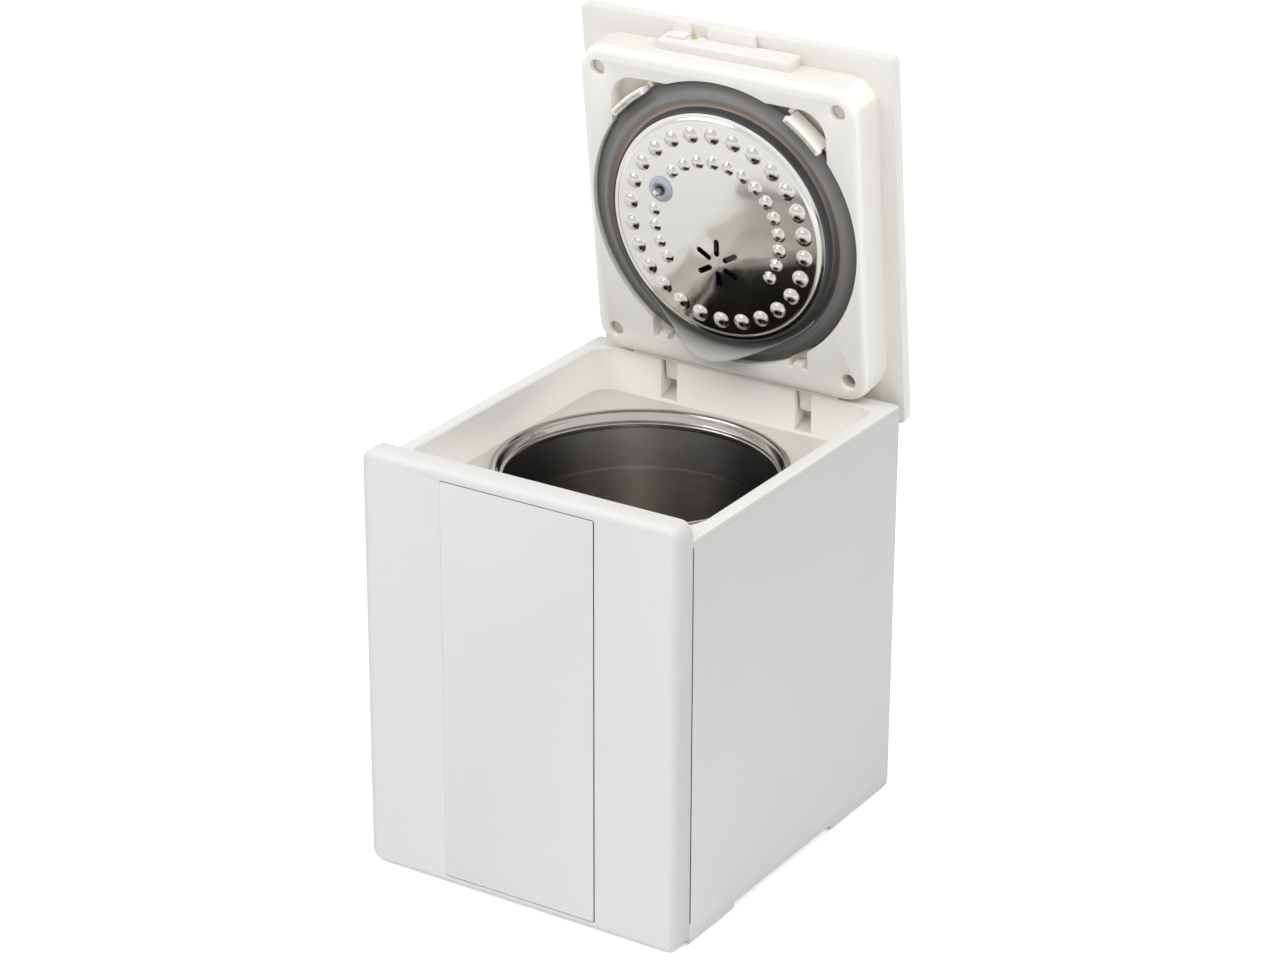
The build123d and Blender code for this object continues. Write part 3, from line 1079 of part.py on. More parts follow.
# Warming plate on the floor of the pocket, and the felt behind it
with BuildPart() as lid_heater_plate:
    with BuildSketch(LID.offset(-POCKET_FLOOR)):
        Circle(LID_HEATER_RADIUS)
        with Locations((0, STEAM_Y)):
            Circle(DUCT_BORE, mode=Mode.SUBTRACT)
        with Locations((PROBE_X, PROBE_Y)):
            Circle(PROBE_COLLAR_RADIUS + FIT_GAP, mode=Mode.SUBTRACT)
    extrude(amount=-LID_HEATER_THICKNESS)
write(lid_heater_plate, "lid_heater_plate")

with BuildPart() as lid_insulation:
    with BuildSketch(LID.offset(-CAVITY_FLOOR)):
        Circle(INSULATION_RADIUS)
        with Locations((0, STEAM_Y)):
            Circle(DUCT_RADIUS + FIT_GAP, mode=Mode.SUBTRACT)
    extrude(amount=INSULATION_THICKNESS)
write(lid_insulation, "lid_insulation")

# Steam duct with the dish that the steam cap sits in
with BuildPart() as steam_duct:
    with BuildSketch(LID.offset(-POCKET_FLOOR)):
        with Locations((0, STEAM_Y)):
            Circle(DUCT_RADIUS)
    extrude(amount=POCKET_FLOOR + LID_BASE_TOP)
    with BuildSketch(LID.offset(LID_BASE_TOP)):
        with Locations((0, STEAM_Y)):
            Circle(DISH_RADIUS)
    extrude(amount=DISH_TOP - LID_BASE_TOP)
    with BuildSketch(LID.offset(LID_BASE_TOP + DISH_FLOOR)):
        with Locations((0, STEAM_Y)):
            Circle(DISH_RADIUS - DISH_WALL)
    extrude(amount=DISH_TOP - LID_BASE_TOP - DISH_FLOOR, mode=Mode.SUBTRACT)
    with BuildSketch(LID.offset(-POCKET_FLOOR)):
        with Locations((0, STEAM_Y)):
            Circle(DUCT_BORE)
    extrude(amount=POCKET_FLOOR + LID_BASE_TOP + DISH_FLOOR, mode=Mode.SUBTRACT)
write(steam_duct, "steam_duct")

# Temperature probe that pokes through the inner lid
with BuildPart() as lid_probe:
    with BuildSketch(LID.offset(-POCKET_FLOOR)):
        with Locations((PROBE_X, PROBE_Y)):
            Circle(PROBE_RADIUS)
    extrude(amount=POCKET_FLOOR - PROBE_DEPTH)
    chamfer(lid_probe.faces().sort_by(LID_AXIS)[0].edges(), PROBE_RADIUS / 2)
    with BuildSketch(LID.offset(-POCKET_FLOOR)):
        with Locations((PROBE_X, PROBE_Y)):
            Circle(PROBE_COLLAR_RADIUS)
    extrude(amount=-PROBE_COLLAR_HEIGHT)
write(lid_probe, "lid_probe")

# Latch bar on the front of the lid frame, with a slot for the hook and a small tab
with BuildPart() as latch_housing:
    with BuildSketch(LID.offset(-LATCH_BAR_DEPTH)):
        with Locations((0, FRAME_FRONT_Y - LATCH_BAR_REACH / 2)):
            Rectangle(LATCH_BAR_WIDTH, LATCH_BAR_REACH)
    extrude(amount=LATCH_BAR_DEPTH + LID_GAP)
    fillet(latch_housing.faces().sort_by(Axis(LID_ORIGIN, LID_BACK))[0].edges(), LATCH_BAR_ROUND)
    with BuildSketch(LID.offset(LID_GAP)):
        with Locations((LATCH_TAB_X, FRAME_FRONT_Y - LATCH_BAR_REACH - LATCH_TAB_LENGTH / 2)):
            Rectangle(LATCH_TAB_WIDTH, LATCH_TAB_LENGTH + 2 * LATCH_BAR_ROUND)
    extrude(amount=-LATCH_TAB_THICKNESS)
    with BuildSketch(LID.offset(LID_GAP)):
        with Locations((0, FRAME_FRONT_Y - LATCH_BAR_REACH / 2)):
            Rectangle(HOOK_WIDTH + 2 * HOOK_GUIDE_GAP, LATCH_BAR_REACH)
    extrude(amount=HOOK_UNDER - HOOK_GUIDE_GAP - LID_GAP, mode=Mode.SUBTRACT)
    with BuildSketch(LID_SECTION.offset(-FRAME_FRONT_Y + LATCH_BAR_REACH)):
        with Locations((CONTACT_X, -LATCH_BAR_DEPTH / 3)):
            Circle(CONTACT_RADIUS + FIT_GAP)
    extrude(amount=-LATCH_BAR_REACH, mode=Mode.SUBTRACT)
write(latch_housing, "latch_housing")

# Brass contact pin in the latch bar
with BuildPart() as latch_contact:
    with BuildSketch(LID_SECTION.offset(-FRAME_FRONT_Y)):
        with Locations((CONTACT_X, -LATCH_BAR_DEPTH / 3)):
            Circle(CONTACT_RADIUS)
    extrude(amount=FRAME_FRONT_GAP - CONTACT_GAP)
write(latch_contact, "latch_contact")

# Springs of the latch, behind the front wall of the lid frame
with BuildPart() as latch_springs:
    with BuildSketch(LID_SECTION.offset(-FRAME_FRONT_Y - LID_FRAME_WALL)):
        with Locations((-LATCH_SPRING_X, -CAVITY_FLOOR / 2), (LATCH_SPRING_X, -CAVITY_FLOOR / 2)):
            Circle(LATCH_SPRING_RADIUS)
    extrude(amount=-LATCH_SPRING_LENGTH)
write(latch_springs, "latch_springs")

# Pins of the two catches
with BuildPart() as catch_pins:
    for side in SIDES:
        with BuildSketch(catch_pivot(side)):
            Circle(CATCH_PIN_RADIUS)
        extrude(amount=CATCH_LENGTH / 2 + EAR_GAP + EAR_WIDTH, both=True)
write(catch_pins, "catch_pins")

# Latch hook with the window that the button's stem works in
with BuildPart() as latch_hook:
    with BuildSketch(LID.offset(HOOK_UNDER)):
        with Locations((0, HOOK_MID_Y)):
            RectangleRounded(HOOK_WIDTH, HOOK_LENGTH, HOOK_ROUND)
        with Locations((0, BUTTON_Y - BUTTON_TRAVEL / 2)):
            window_length = BUTTON_STEM_LENGTH + BUTTON_TRAVEL + 2 * BUTTON_GAP
            Rectangle(BUTTON_STEM_WIDTH + 2 * BUTTON_GAP, window_length, mode=Mode.SUBTRACT)
    extrude(amount=HOOK_THICKNESS)
write(latch_hook, "latch_hook")

# Release button in the lid cover
with BuildPart() as release_button:
    with BuildSketch(LID.offset(LID_TOP)):
        with Locations((0, BUTTON_Y)):
            SlotOverall(BUTTON_WIDTH, BUTTON_LENGTH)
    extrude(amount=-BUTTON_HEIGHT)
    with BuildSketch(LID.offset(LID_TOP - BUTTON_HEIGHT)):
        with Locations((0, BUTTON_Y)):
            Rectangle(BUTTON_STEM_WIDTH, BUTTON_STEM_LENGTH)
    extrude(amount=HOOK_UNDER + HOOK_THICKNESS / 2 - LID_TOP + BUTTON_HEIGHT)
write(release_button, "release_button")

# Catches that hold the inner lid, one file each
for side, name in ((-1, "catch_left"), (1, "catch_right")):
    with BuildPart() as catch:
        stand = CATCH_DEPTH - CATCH_PIVOT_DEPTH
        with BuildSketch(catch_plane(side)):
            with Locations((0, -CATCH_PIVOT_DEPTH - stand / 2)):
                Rectangle(CATCH_LENGTH, stand)
        extrude(amount=CATCH_THICKNESS)
        with BuildSketch(catch_pivot(side)):
            Circle(CATCH_THICKNESS / 2)
        extrude(amount=CATCH_LENGTH / 2, both=True)
        tab = catch_plane(side)
        head_middle = tab.origin + tab.z_dir * (CATCH_HEAD_WIDTH / 2) - LID_UP * CATCH_DEPTH
        with BuildSketch(Plane(origin=head_middle, x_dir=tab.x_dir, z_dir=LID_UP)):
            SlotOverall(CATCH_HEAD_LENGTH, CATCH_HEAD_WIDTH)
        extrude(amount=CATCH_HEAD_THICKNESS)
        with BuildSketch(catch_pivot(side)):
            Circle(CATCH_PIN_RADIUS + PIN_RUNNING)
        extrude(amount=CATCH_LENGTH / 2, both=True, mode=Mode.SUBTRACT)
    write(catch, name)

# One dimple of each size, apex down, with its base a little inside the disc
dimples = []
for dimple_radius in (OUTER_DIMPLE_RADIUS, INNER_DIMPLE_RADIUS):
    with BuildPart() as dimple:
        with BuildSketch(Plane.XZ):
            with BuildLine():
                ThreePointArc((-dimple_radius, 0), (0, -DIMPLE_RISE), (dimple_radius, 0))
                Polyline(
                    (dimple_radius, 0),
                    (dimple_radius, DISC_THICKNESS / 2),
                    (-dimple_radius, DISC_THICKNESS / 2),
                    (-dimple_radius, 0),
                )
            make_face()
            split(bisect_by=Plane.YZ)
        revolve(axis=Axis.Z)
    dimples.append(dimple.part)

# Inner lid disc: pressed steel with two rings of dimples, steam slots and the probe's hole
with BuildPart(LID) as inner_lid_disc:
    with BuildSketch(LID_SECTION):
        with BuildLine():
            hem_radius = DISC_RADIUS - DISC_HEM
            Polyline(
                (0, -DISC_FACE_DEPTH),
                (DISC_FACE_RADIUS, -DISC_FACE_DEPTH),
                (hem_radius, -DISC_EDGE_DEPTH - DISC_THICKNESS),
                (DISC_RADIUS, -DISC_EDGE_DEPTH - DISC_THICKNESS),
                (DISC_RADIUS, -DISC_EDGE_DEPTH),
                (hem_radius - DISC_THICKNESS / 2, -DISC_EDGE_DEPTH),
                (DISC_FACE_RADIUS - DISC_THICKNESS / 2, -DISC_FACE_DEPTH + DISC_THICKNESS),
                (0, -DISC_FACE_DEPTH + DISC_THICKNESS),
                close=True,
            )
        make_face()
    revolve(axis=LID_AXIS)
    outer_spots = [ring_spot(OUTER_DIMPLE_RING, place) for place in range(DIMPLES)]
    inner_places = [p for p in range(-INNER_DIMPLE_SPAN, INNER_DIMPLE_SPAN + 1) if p not in PROBE_PLACES]
    inner_spots = [ring_spot(INNER_DIMPLE_RING, place) for place in inner_places]
    for spots, shape in zip((outer_spots, inner_spots), dimples):
        with Locations(*[(x, y, -DISC_FACE_DEPTH) for x, y in spots]):
            add(shape)
    with BuildSketch(LID.offset(-DISC_FACE_DEPTH)):
        with Locations((0, STEAM_Y)):
            with PolarLocations(STAR_RING, STAR_SLOTS, start_angle=-90):
                SlotOverall(STAR_SLOT_LENGTH, STAR_SLOT_WIDTH)
        with Locations((PROBE_X, PROBE_Y)):
            Circle(GROMMET_NECK_RADIUS + FIT_GAP)
    extrude(amount=DISC_THICKNESS, mode=Mode.SUBTRACT)
write(inner_lid_disc, "inner_lid_disc")

# Gasket: collar under the disc, groove, crown and flat sealing lip, with the drip flap
with BuildPart() as inner_lid_gasket:
    with BuildSketch(LID_SIDE):
        with BuildLine():
            Polyline(
                (FLAP_RADIUS - FLAP_THICKNESS, -GASKET_SEAL_DEPTH),
                (FLAP_RADIUS, -GASKET_SEAL_DEPTH),
                (FLAP_RADIUS, -FLAP_DEPTH),
                (FLAP_RADIUS - FLAP_THICKNESS, -FLAP_DEPTH),
                close=True,
            )
        make_face()
    revolve(axis=LID_AXIS, revolution_arc=FLAP_HALF_ANGLE)
    mirror(about=LID_SIDE)
    end_reach = FLAP_RADIUS * cos(radians(FLAP_HALF_ANGLE))
    fall = LID_BACK * (FLAP_RADIUS - end_reach) - LID_UP * (FLAP_DEPTH - FLAP_END_DEPTH)
    tip = LID_ORIGIN + LID_BACK * FLAP_RADIUS - LID_UP * FLAP_DEPTH
    split(bisect_by=Plane(origin=tip, x_dir=LID_ACROSS, z_dir=LID_ACROSS.cross(fall)), keep=Keep.TOP)
    with BuildSketch(LID_SECTION):
        with BuildLine():
            collar_face = -DISC_EDGE_DEPTH + COLLAR_GAP
            collar_bore = DISC_RADIUS + COLLAR_GAP
            collar_top = -DISC_EDGE_DEPTH - DISC_THICKNESS - COLLAR_RISE
            foot_inner = GASKET_FOOT_RADIUS - GASKET_FOOT_WIDTH
            foot_z = -POCKET_FLOOR - GASKET_SEAT_GAP
            Polyline(
                (COLLAR_INNER_RADIUS, collar_face),
                (collar_bore, collar_face),
                (collar_bore, collar_top),
                (collar_bore + COLLAR_WALL, collar_top),
                (GROOVE_RADIUS - GROOVE_WIDTH / 2, -GROOVE_DEPTH),
                (GROOVE_RADIUS + GROOVE_WIDTH / 2, -GROOVE_DEPTH),
                (GASKET_CROWN_RADIUS - COLLAR_WALL / 2, -GASKET_CROWN_DEPTH),
                (GASKET_CROWN_RADIUS + COLLAR_WALL / 2, -GASKET_CROWN_DEPTH),
                (GASKET_SHOULDER_RADIUS, -GASKET_SEAL_DEPTH),
                (GASKET_RADIUS, -GASKET_SEAL_DEPTH),
                (GASKET_RADIUS, -GASKET_SEAL_DEPTH + GASKET_LIP),
                (GASKET_SHOULDER_RADIUS, -GASKET_SEAL_DEPTH + 2 * GASKET_LIP),
                (GASKET_FOOT_RADIUS, foot_z),
                (foot_inner, foot_z),
                (foot_inner - COLLAR_WALL, -GROOVE_DEPTH + COLLAR_THICKNESS),
                (COLLAR_INNER_RADIUS, collar_face + COLLAR_THICKNESS),
                close=True,
            )
        make_face()
    revolve(axis=LID_AXIS)
write(inner_lid_gasket, "inner_lid_gasket")

# Grommet that seals the probe's hole in the disc
with BuildPart() as probe_grommet:
    with BuildSketch(LID.offset(-DISC_FACE_DEPTH)):
        with Locations((PROBE_X, PROBE_Y)):
            Circle(GROMMET_RADIUS)
    extrude(amount=-GROMMET_THICKNESS)
    fillet(probe_grommet.faces().sort_by(LID_AXIS)[0].edges(), GROMMET_THICKNESS / 2)
    with BuildSketch(LID.offset(-DISC_FACE_DEPTH)):
        with Locations((PROBE_X, PROBE_Y)):
            Circle(GROMMET_NECK_RADIUS)
    extrude(amount=DISC_THICKNESS)
    with BuildSketch(LID.offset(-DISC_FACE_DEPTH + DISC_THICKNESS)):
        with Locations((PROBE_X, PROBE_Y)):
            Circle((GROMMET_RADIUS + GROMMET_NECK_RADIUS) / 2)
    extrude(amount=GROMMET_THICKNESS)
    with BuildSketch(LID.offset(-DISC_FACE_DEPTH - GROMMET_THICKNESS)):
        with Locations((PROBE_X, PROBE_Y)):
            Circle(PROBE_RADIUS + GROMMET_BORE_GAP)
    extrude(amount=2 * GROMMET_THICKNESS + DISC_THICKNESS, mode=Mode.SUBTRACT)
write(probe_grommet, "probe_grommet")

# Steam cap and its seal
with BuildPart() as steam_cap:
    with BuildSketch(LID.offset(LID_TOP)):
        with Locations((0, STEAM_Y)):
            Circle(CAP_RADIUS)
    extrude(amount=-CAP_TOP_THICKNESS)
    with BuildSketch(LID.offset(LID_TOP - CAP_TOP_THICKNESS)):
        with Locations((0, STEAM_Y)):
            Circle(CAP_SKIRT_RADIUS)
            Circle(CAP_SKIRT_RADIUS - CAP_SKIRT_WALL, mode=Mode.SUBTRACT)
    extrude(amount=CAP_UNDER - LID_TOP + CAP_TOP_THICKNESS)
    with BuildSketch(LID.offset(LID_TOP)):
        with Locations((0, STEAM_Y)):
            with GridLocations(0, CAP_SLOT_PITCH, 1, CAP_SLOT_COUNT):
                SlotOverall(CAP_SLOT_LENGTH, CAP_SLOT_WIDTH)
    extrude(amount=-CAP_TOP_THICKNESS, mode=Mode.SUBTRACT)
write(steam_cap, "steam_cap")

with BuildPart() as steam_cap_seal:
    with BuildSketch(LID.offset(CAP_UNDER)):
        with Locations((0, STEAM_Y)):
            Circle(CAP_SKIRT_RADIUS + FIT_GAP + CAP_SEAL_WIDTH)
            Circle(CAP_SKIRT_RADIUS + FIT_GAP, mode=Mode.SUBTRACT)
    extrude(amount=CAP_SEAL_HEIGHT)
write(steam_cap_seal, "steam_cap_seal")
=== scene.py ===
"""Dress a compact rice cooker, its lid open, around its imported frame.

Sizes in the classes are millimetres and meshes are metres. +X is to the right, +Y to the back
and +Z up. Pieces of the lid are modelled as if the lid were closed, measured from the pot axis
at the height of the rim, and then swung open about the frame's own hinge.
"""

import json
import logging
import math
from dataclasses import dataclass
from enum import Enum
from typing import Callable, Iterable, Sequence

import bmesh
import bpy
from mathutils import Matrix, Vector


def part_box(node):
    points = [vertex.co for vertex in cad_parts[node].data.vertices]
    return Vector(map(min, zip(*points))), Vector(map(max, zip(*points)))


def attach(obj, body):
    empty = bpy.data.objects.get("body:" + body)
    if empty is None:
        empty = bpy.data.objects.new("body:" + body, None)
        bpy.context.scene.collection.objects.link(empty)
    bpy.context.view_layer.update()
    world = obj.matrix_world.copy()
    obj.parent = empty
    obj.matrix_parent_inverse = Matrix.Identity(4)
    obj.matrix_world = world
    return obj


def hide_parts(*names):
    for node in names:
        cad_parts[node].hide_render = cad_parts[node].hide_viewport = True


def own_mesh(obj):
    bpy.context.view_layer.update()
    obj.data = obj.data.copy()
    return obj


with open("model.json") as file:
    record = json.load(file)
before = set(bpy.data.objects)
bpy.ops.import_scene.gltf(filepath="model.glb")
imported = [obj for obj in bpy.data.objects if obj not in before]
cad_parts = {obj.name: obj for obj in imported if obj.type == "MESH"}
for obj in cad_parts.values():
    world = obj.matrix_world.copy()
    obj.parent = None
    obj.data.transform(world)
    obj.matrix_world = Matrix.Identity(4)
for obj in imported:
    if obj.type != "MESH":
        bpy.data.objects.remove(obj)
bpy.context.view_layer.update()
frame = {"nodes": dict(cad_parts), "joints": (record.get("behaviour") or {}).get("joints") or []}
LOG = logging.getLogger("rice_cooker")
MM = 0.001
GRADE = "grade"  # the point attribute that graded finishes follow
NEAR = 0.1  # millimetres within which points lie on the same face
WELD = MM * MM * 10  # metres within which points are merged
MIDDLE = (0.3, 0.7)  # where most of a noise pattern's values lie
UNIT = (0.0, 1.0)
MIX_FIRST, MIX_SECOND, MIX_RESULT = 6, 7, 2  # the colour sockets of a Mix node

Colour = tuple[int, int, int]
Corner = tuple[float, float, float]
Point = tuple[float, float]
Piece = bpy.types.Object
Face = bpy.types.MeshPolygon
Socket = bpy.types.NodeSocket


class Body(Enum):
    """The moving bodies of the frame that pieces ride on."""

    CASE = "body"
    POT = "cooking_pot"
    LID = "lid"
    INNER_LID = "inner_lid"
    LEFT_CATCH = "left_catch"
    RIGHT_CATCH = "right_catch"
    BUTTON = "button"
    HOOK = "hook"
    CAP = "cap"


def linear(colour: Colour) -> tuple[float, float, float, float]:
    """Turn a screen colour into the linear one that shaders take.

    Args:
        colour: Red, green and blue from 0 to 255.

    Returns:
        The linear colour with an alpha of one.
    """
    parts = [c / 255 for c in colour]
    red, green, blue = (c / 12.92 if c <= 0.04045 else ((c + 0.055) / 1.055) ** 2.4 for c in parts)
    return red, green, blue, 1.0


class NodeSheet:
    """A node tree, with short ways to add and join nodes."""

    def __init__(self, owner: bpy.types.Material | bpy.types.World) -> None:
        """Start an empty tree.

        Args:
            owner: The material or world that the tree belongs to.
        """
        self.owner = owner
        owner.use_nodes = True
        self.tree = owner.node_tree
        self.tree.nodes.clear()

    def add(
        self, kind: str, inputs: dict[str | int, object] | None = None, **settings: object
    ) -> bpy.types.Node:
        """Add one node.

        Args:
            kind: The node's type name.
            inputs: Values for its sockets, by name or number; a socket here is linked instead.
            settings: Values for its own properties.

        Returns:
            The new node.
        """
        node = self.tree.nodes.new(kind)
        for key, value in settings.items():
            setattr(node, key, value)
        for key, value in (inputs or {}).items():
            if isinstance(value, Socket):
                self.tree.links.new(value, node.inputs[key])
            else:
                node.inputs[key].default_value = value
        return node

    def noise(self, size: float, detail: float, stretch: Point | None = None) -> Socket:
        """Add a noise pattern on the object's own coordinates.

        Args:
            size: Width of one blotch in millimetres.
            detail: How many finer layers it has.
            stretch: How much longer the blotches are along X and Y than along Z.

        Returns:
            The pattern's value from 0 to 1.
        """
        place = self.add("ShaderNodeTexCoord").outputs["Object"]
        if stretch:
            scale = (1 / stretch[0], 1 / stretch[1], 1.0)
            place = self.add("ShaderNodeMapping", {"Vector": place, "Scale": scale}).outputs["Vector"]
        values = {"Vector": place, "Scale": 1 / (size * MM), "Detail": detail}
        return self.add("ShaderNodeTexNoise", values).outputs["Fac"]

    def ranged(
        self, value: Socket, source: Point, target: tuple[object, object], **settings: object
    ) -> Socket:
        """Map a value from one range onto another; its ends are numbers or sockets."""
        ends = dict(zip(("From Min", "From Max", "To Min", "To Max"), (*source, *target)))
        return self.add("ShaderNodeMapRange", {"Value": value, **ends}, **settings).outputs["Result"]

    def spread(self, value: Socket, low: float, high: float) -> Socket:
        """Map a pattern's middle range onto the range from low to high."""
        return self.ranged(value, MIDDLE, (low, high))

    def blend(self, amount: Socket, first: Colour, second: Colour) -> Socket:
        """Mix two colours by a pattern."""
        values = {"Factor": amount, MIX_FIRST: linear(first), MIX_SECOND: linear(second)}
        return self.add("ShaderNodeMix", values, data_type="RGBA").outputs[MIX_RESULT]

    def math(self, operation: str, first: Socket, second: Socket) -> Socket:
        """Join two values by a sum or another operation."""
        return self.add("ShaderNodeMath", {0: first, 1: second}, operation=operation).outputs[0]

    def grade(self) -> Socket:
        """Read the piece's own grade."""
        return self.add("ShaderNodeAttribute", attribute_name=GRADE).outputs["Fac"]

    def height(self, space: str) -> Socket:
        """Read the height in one of the coordinate spaces."""
        place = self.add("ShaderNodeTexCoord").outputs[space]
        return self.add("ShaderNodeSeparateXYZ", {"Vector": place}).outputs["Z"]

    def relief(self, height: Socket, depth: float) -> Socket:
        """Turn a pattern into a bump of that depth in millimetres."""
        values = {"Height": height, "Distance": depth * MM, "Strength": 1.0}
        return self.add("ShaderNodeBump", values).outputs["Normal"]

    def finish(self, shader: bpy.types.Node) -> bpy.types.Material:
        """Join a shader to the output and hand over the material."""
        self.add("ShaderNodeOutputMaterial", {"Surface": shader.outputs[0]})
        return self.owner


@dataclass(frozen=True)
class Finish:
    """A surface finish: two close shades, a range of gloss and a fine relief.

    Sizes are millimetres. The second shade shows in soft blotches.
    """

    name: str
    slot: str
    shade: Colour
    drift: Colour
    gloss: Point
    blotch: float = 30.0
    grain: float = 0.5
    depth: float = 0.01
    metallic: float = 0.0
    coat: float = 0.0
    specular: float = 0.5
    translucent: float = 0.0
    stretch: Point | None = None
    coat_gloss: float = 0.08
    bleed: Corner = (1.0, 0.9, 0.8)
    bleed_depth: float = 2.0

    def material(self) -> bpy.types.Material:
        """Build the finish's material once.

        Returns:
            The material, or the one that was already built.
        """
        if self.name in bpy.data.materials:
            return bpy.data.materials[self.name]
        sheet = NodeSheet(bpy.data.materials.new(self.name))
        return sheet.finish(sheet.add("ShaderNodeBsdfPrincipled", self.sockets(sheet)))

    def tone(self, sheet: NodeSheet) -> Socket:
        """Blend the two shades in soft blotches."""
        return sheet.blend(sheet.noise(self.blotch, 2.0), self.shade, self.drift)

    def sockets(self, sheet: NodeSheet) -> dict[str, object]:
        """Choose the shader's values and patterns.

        Args:
            sheet: The material's node tree.

        Returns:
            Values and patterns by socket name.
        """
        grain = sheet.noise(self.grain, 3.0, self.stretch)
        return {
            "Base Color": self.tone(sheet),
            "Roughness": sheet.spread(grain, *self.gloss),
            "Normal": sheet.relief(grain, self.depth),
            "Metallic": self.metallic,
            "Coat Weight": self.coat,
            "Coat Roughness": self.coat_gloss,
            "Specular IOR Level": self.specular,
            "Subsurface Weight": self.translucent,
            "Subsurface Radius": self.bleed,
            "Subsurface Scale": self.bleed_depth * MM,
        }


@dataclass(frozen=True)
class GradedFinish(Finish):
    """A finish whose second shade follows the piece's own grade, from 0 to 1."""

    mottle: float = 0.03

    def tone(self, sheet: NodeSheet) -> Socket:
        """Blend the two shades by the grade, a little mottled."""
        mottle = sheet.spread(sheet.noise(self.blotch, 2.0), -self.mottle, self.mottle)
        return sheet.blend(sheet.math("ADD", sheet.grade(), mottle), self.shade, self.drift)


@dataclass(frozen=True)
class WavySteel(GradedFinish):
    """Thin pressed steel, polished but never quite flat; its second shade, where the grade is high, is a
    painted reflection on the drawn-out dimples.
    """

    wave: float = 26.0
    wave_depth: float = 0.05

    def sockets(self, sheet: NodeSheet) -> dict[str, object]:
        """Add long soft waves under the polish."""
        waves = sheet.relief(sheet.noise(self.wave, 1.0), self.wave_depth)
        return {**super().sockets(sheet), "Normal": waves}


@dataclass(frozen=True)
class SpunSteel(Finish):
    """Steel brushed round its own axis, browner below a level, with a painted reflection streak: lighter
    where the grade is high.

    The level is in millimetres.
    """

    level: Point = (90.0, 200.0)
    brushed: float = 0.7
    brush_turn: float = 0.25
    # the painted shade that the reflection streak fades to
    dim: int = 143

    def tone(self, sheet: NodeSheet) -> Socket:
        """Let the shade follow the height, and dim it where the grade is low, which paints the reflection
        streak.

        Args:
            sheet: The material's node tree.

        Returns:
            The colour.
        """
        low, high = self.level
        rise = sheet.ranged(sheet.height("Object"), (low * MM, high * MM), UNIT)
        tones = {
            "Factor": 1.0,
            MIX_FIRST: sheet.blend(rise, self.drift, self.shade),
            MIX_SECOND: sheet.blend(sheet.grade(), (self.dim,) * 3, (255, 255, 255)),
        }
        mix = sheet.add("ShaderNodeMix", tones, data_type="RGBA", blend_type="MULTIPLY")
        return mix.outputs[MIX_RESULT]

    def sockets(self, sheet: NodeSheet) -> dict[str, object]:
        """Stretch the gloss along the wall.

        Args:
            sheet: The material's node tree.

        Returns:
            Values and patterns by socket name.
        """
        tangent = sheet.add("ShaderNodeTangent", direction_type="RADIAL", axis="Z").outputs[0]
        brush = {"Anisotropic": self.brushed, "Anisotropic Rotation": self.brush_turn, "Tangent": tangent}
        return {**super().sockets(sheet), **brush}


def moulded(name: str, shade: Colour, drift: Colour, gloss: Point = (0.36, 0.44)) -> Finish:
    """Choose the finish of one of the ivory mouldings, or of one of its copies with painted light or
    painted shade.
    """
    return Finish(name, "ivory", shade, drift, gloss, grain=0.4, depth=0.003)


# painted shadow for the seam behind the panel: grey at the top, darker towards the bottom by the shell's
# grade
SEAM_PAINTED_SHADOW = GradedFinish(
    "seam_painted_shadow", "white_shell", (130, 129, 126), (54, 54, 53), (0.5, 0.6), 8.0, 0.5, 0.002
)
# painted shade: the panel's second shade darkens it towards its rounded side edges
PANEL = GradedFinish(
    "panel_painted_edge_shade", "white_shell", (224, 223, 221), (203, 202, 200), (0.42, 0.5), grain=0.35, depth=0.003
)
# painted shade and light: a darker copy of the panel's white for the shell, lighter towards the bottom as
# painted light from the floor
SHADED_SHELL = GradedFinish(
    "shell_painted_shade_and_light", "white_shell", (201, 200, 198), (221, 220, 218), (0.42, 0.5), grain=0.35, depth=0.003
)
WINDOW = Finish(
    "touch_window", "window", (217, 220, 219), (220, 223, 222), (0.2, 0.26), 60.0, 2.0, 0.0008, coat=0.3
)
# painted shade: the dark finish on the window's edge faces in its gap
WINDOW_GAP_SHADE = Finish("window_gap_painted_shade", "window", (96, 98, 97), (106, 108, 107), (0.4, 0.5), 20.0, 0.5, 0.002)
IVORY = moulded("ivory_moulding", (240, 238, 233), (243, 241, 236))
# painted light on the recess walls; painted shade on the rim's top and the deck
RECESS_PAINTED_LIGHT = moulded("recess_painted_light", (250, 248, 243), (252, 250, 246), (0.34, 0.42))
RIM_TOP_PAINTED_SHADE = moulded("rim_top_painted_shade", (227, 226, 223), (230, 229, 226), (0.4, 0.48))
DECK_PAINTED_SHADE = moulded("deck_painted_shade", (206, 203, 196), (209, 206, 199))
# painted shade: a darker copy of the ivory for the lid's mouldings and the frame's faces that turn from its
# front
LID_PAINTED_SHADE = moulded("lid_painted_shade", (230, 228, 223), (233, 231, 226))
# painted light: a lighter copy of the ivory inside the frame's pockets
POCKET_PAINTED_LIGHT = moulded("pocket_painted_light", (251, 247, 238), (253, 250, 243))
# painted reflection: the dimples take the darker second shade
MIRROR = WavySteel(
    "pressed_mirror", "steel_mirror", (217, 215, 211), (204, 202, 198), (0.07, 0.11), 24.0, 3.0,
    metallic=1.0, wave=24.0, wave_depth=0.3,
)
RIM_STEEL = Finish(
    "polished_rim", "pot_metal", (180, 177, 173), (188, 186, 182), (0.06, 0.11), 20.0, 4.0, 0.0004,
    metallic=1.0,
)
POT_OUTSIDE = Finish(
    "spun_steel", "pot_metal", (150, 148, 144), (165, 163, 159), (0.24, 0.34), 30.0, 0.4, 0.002,
    metallic=1.0, stretch=(40.0, 40.0),
)
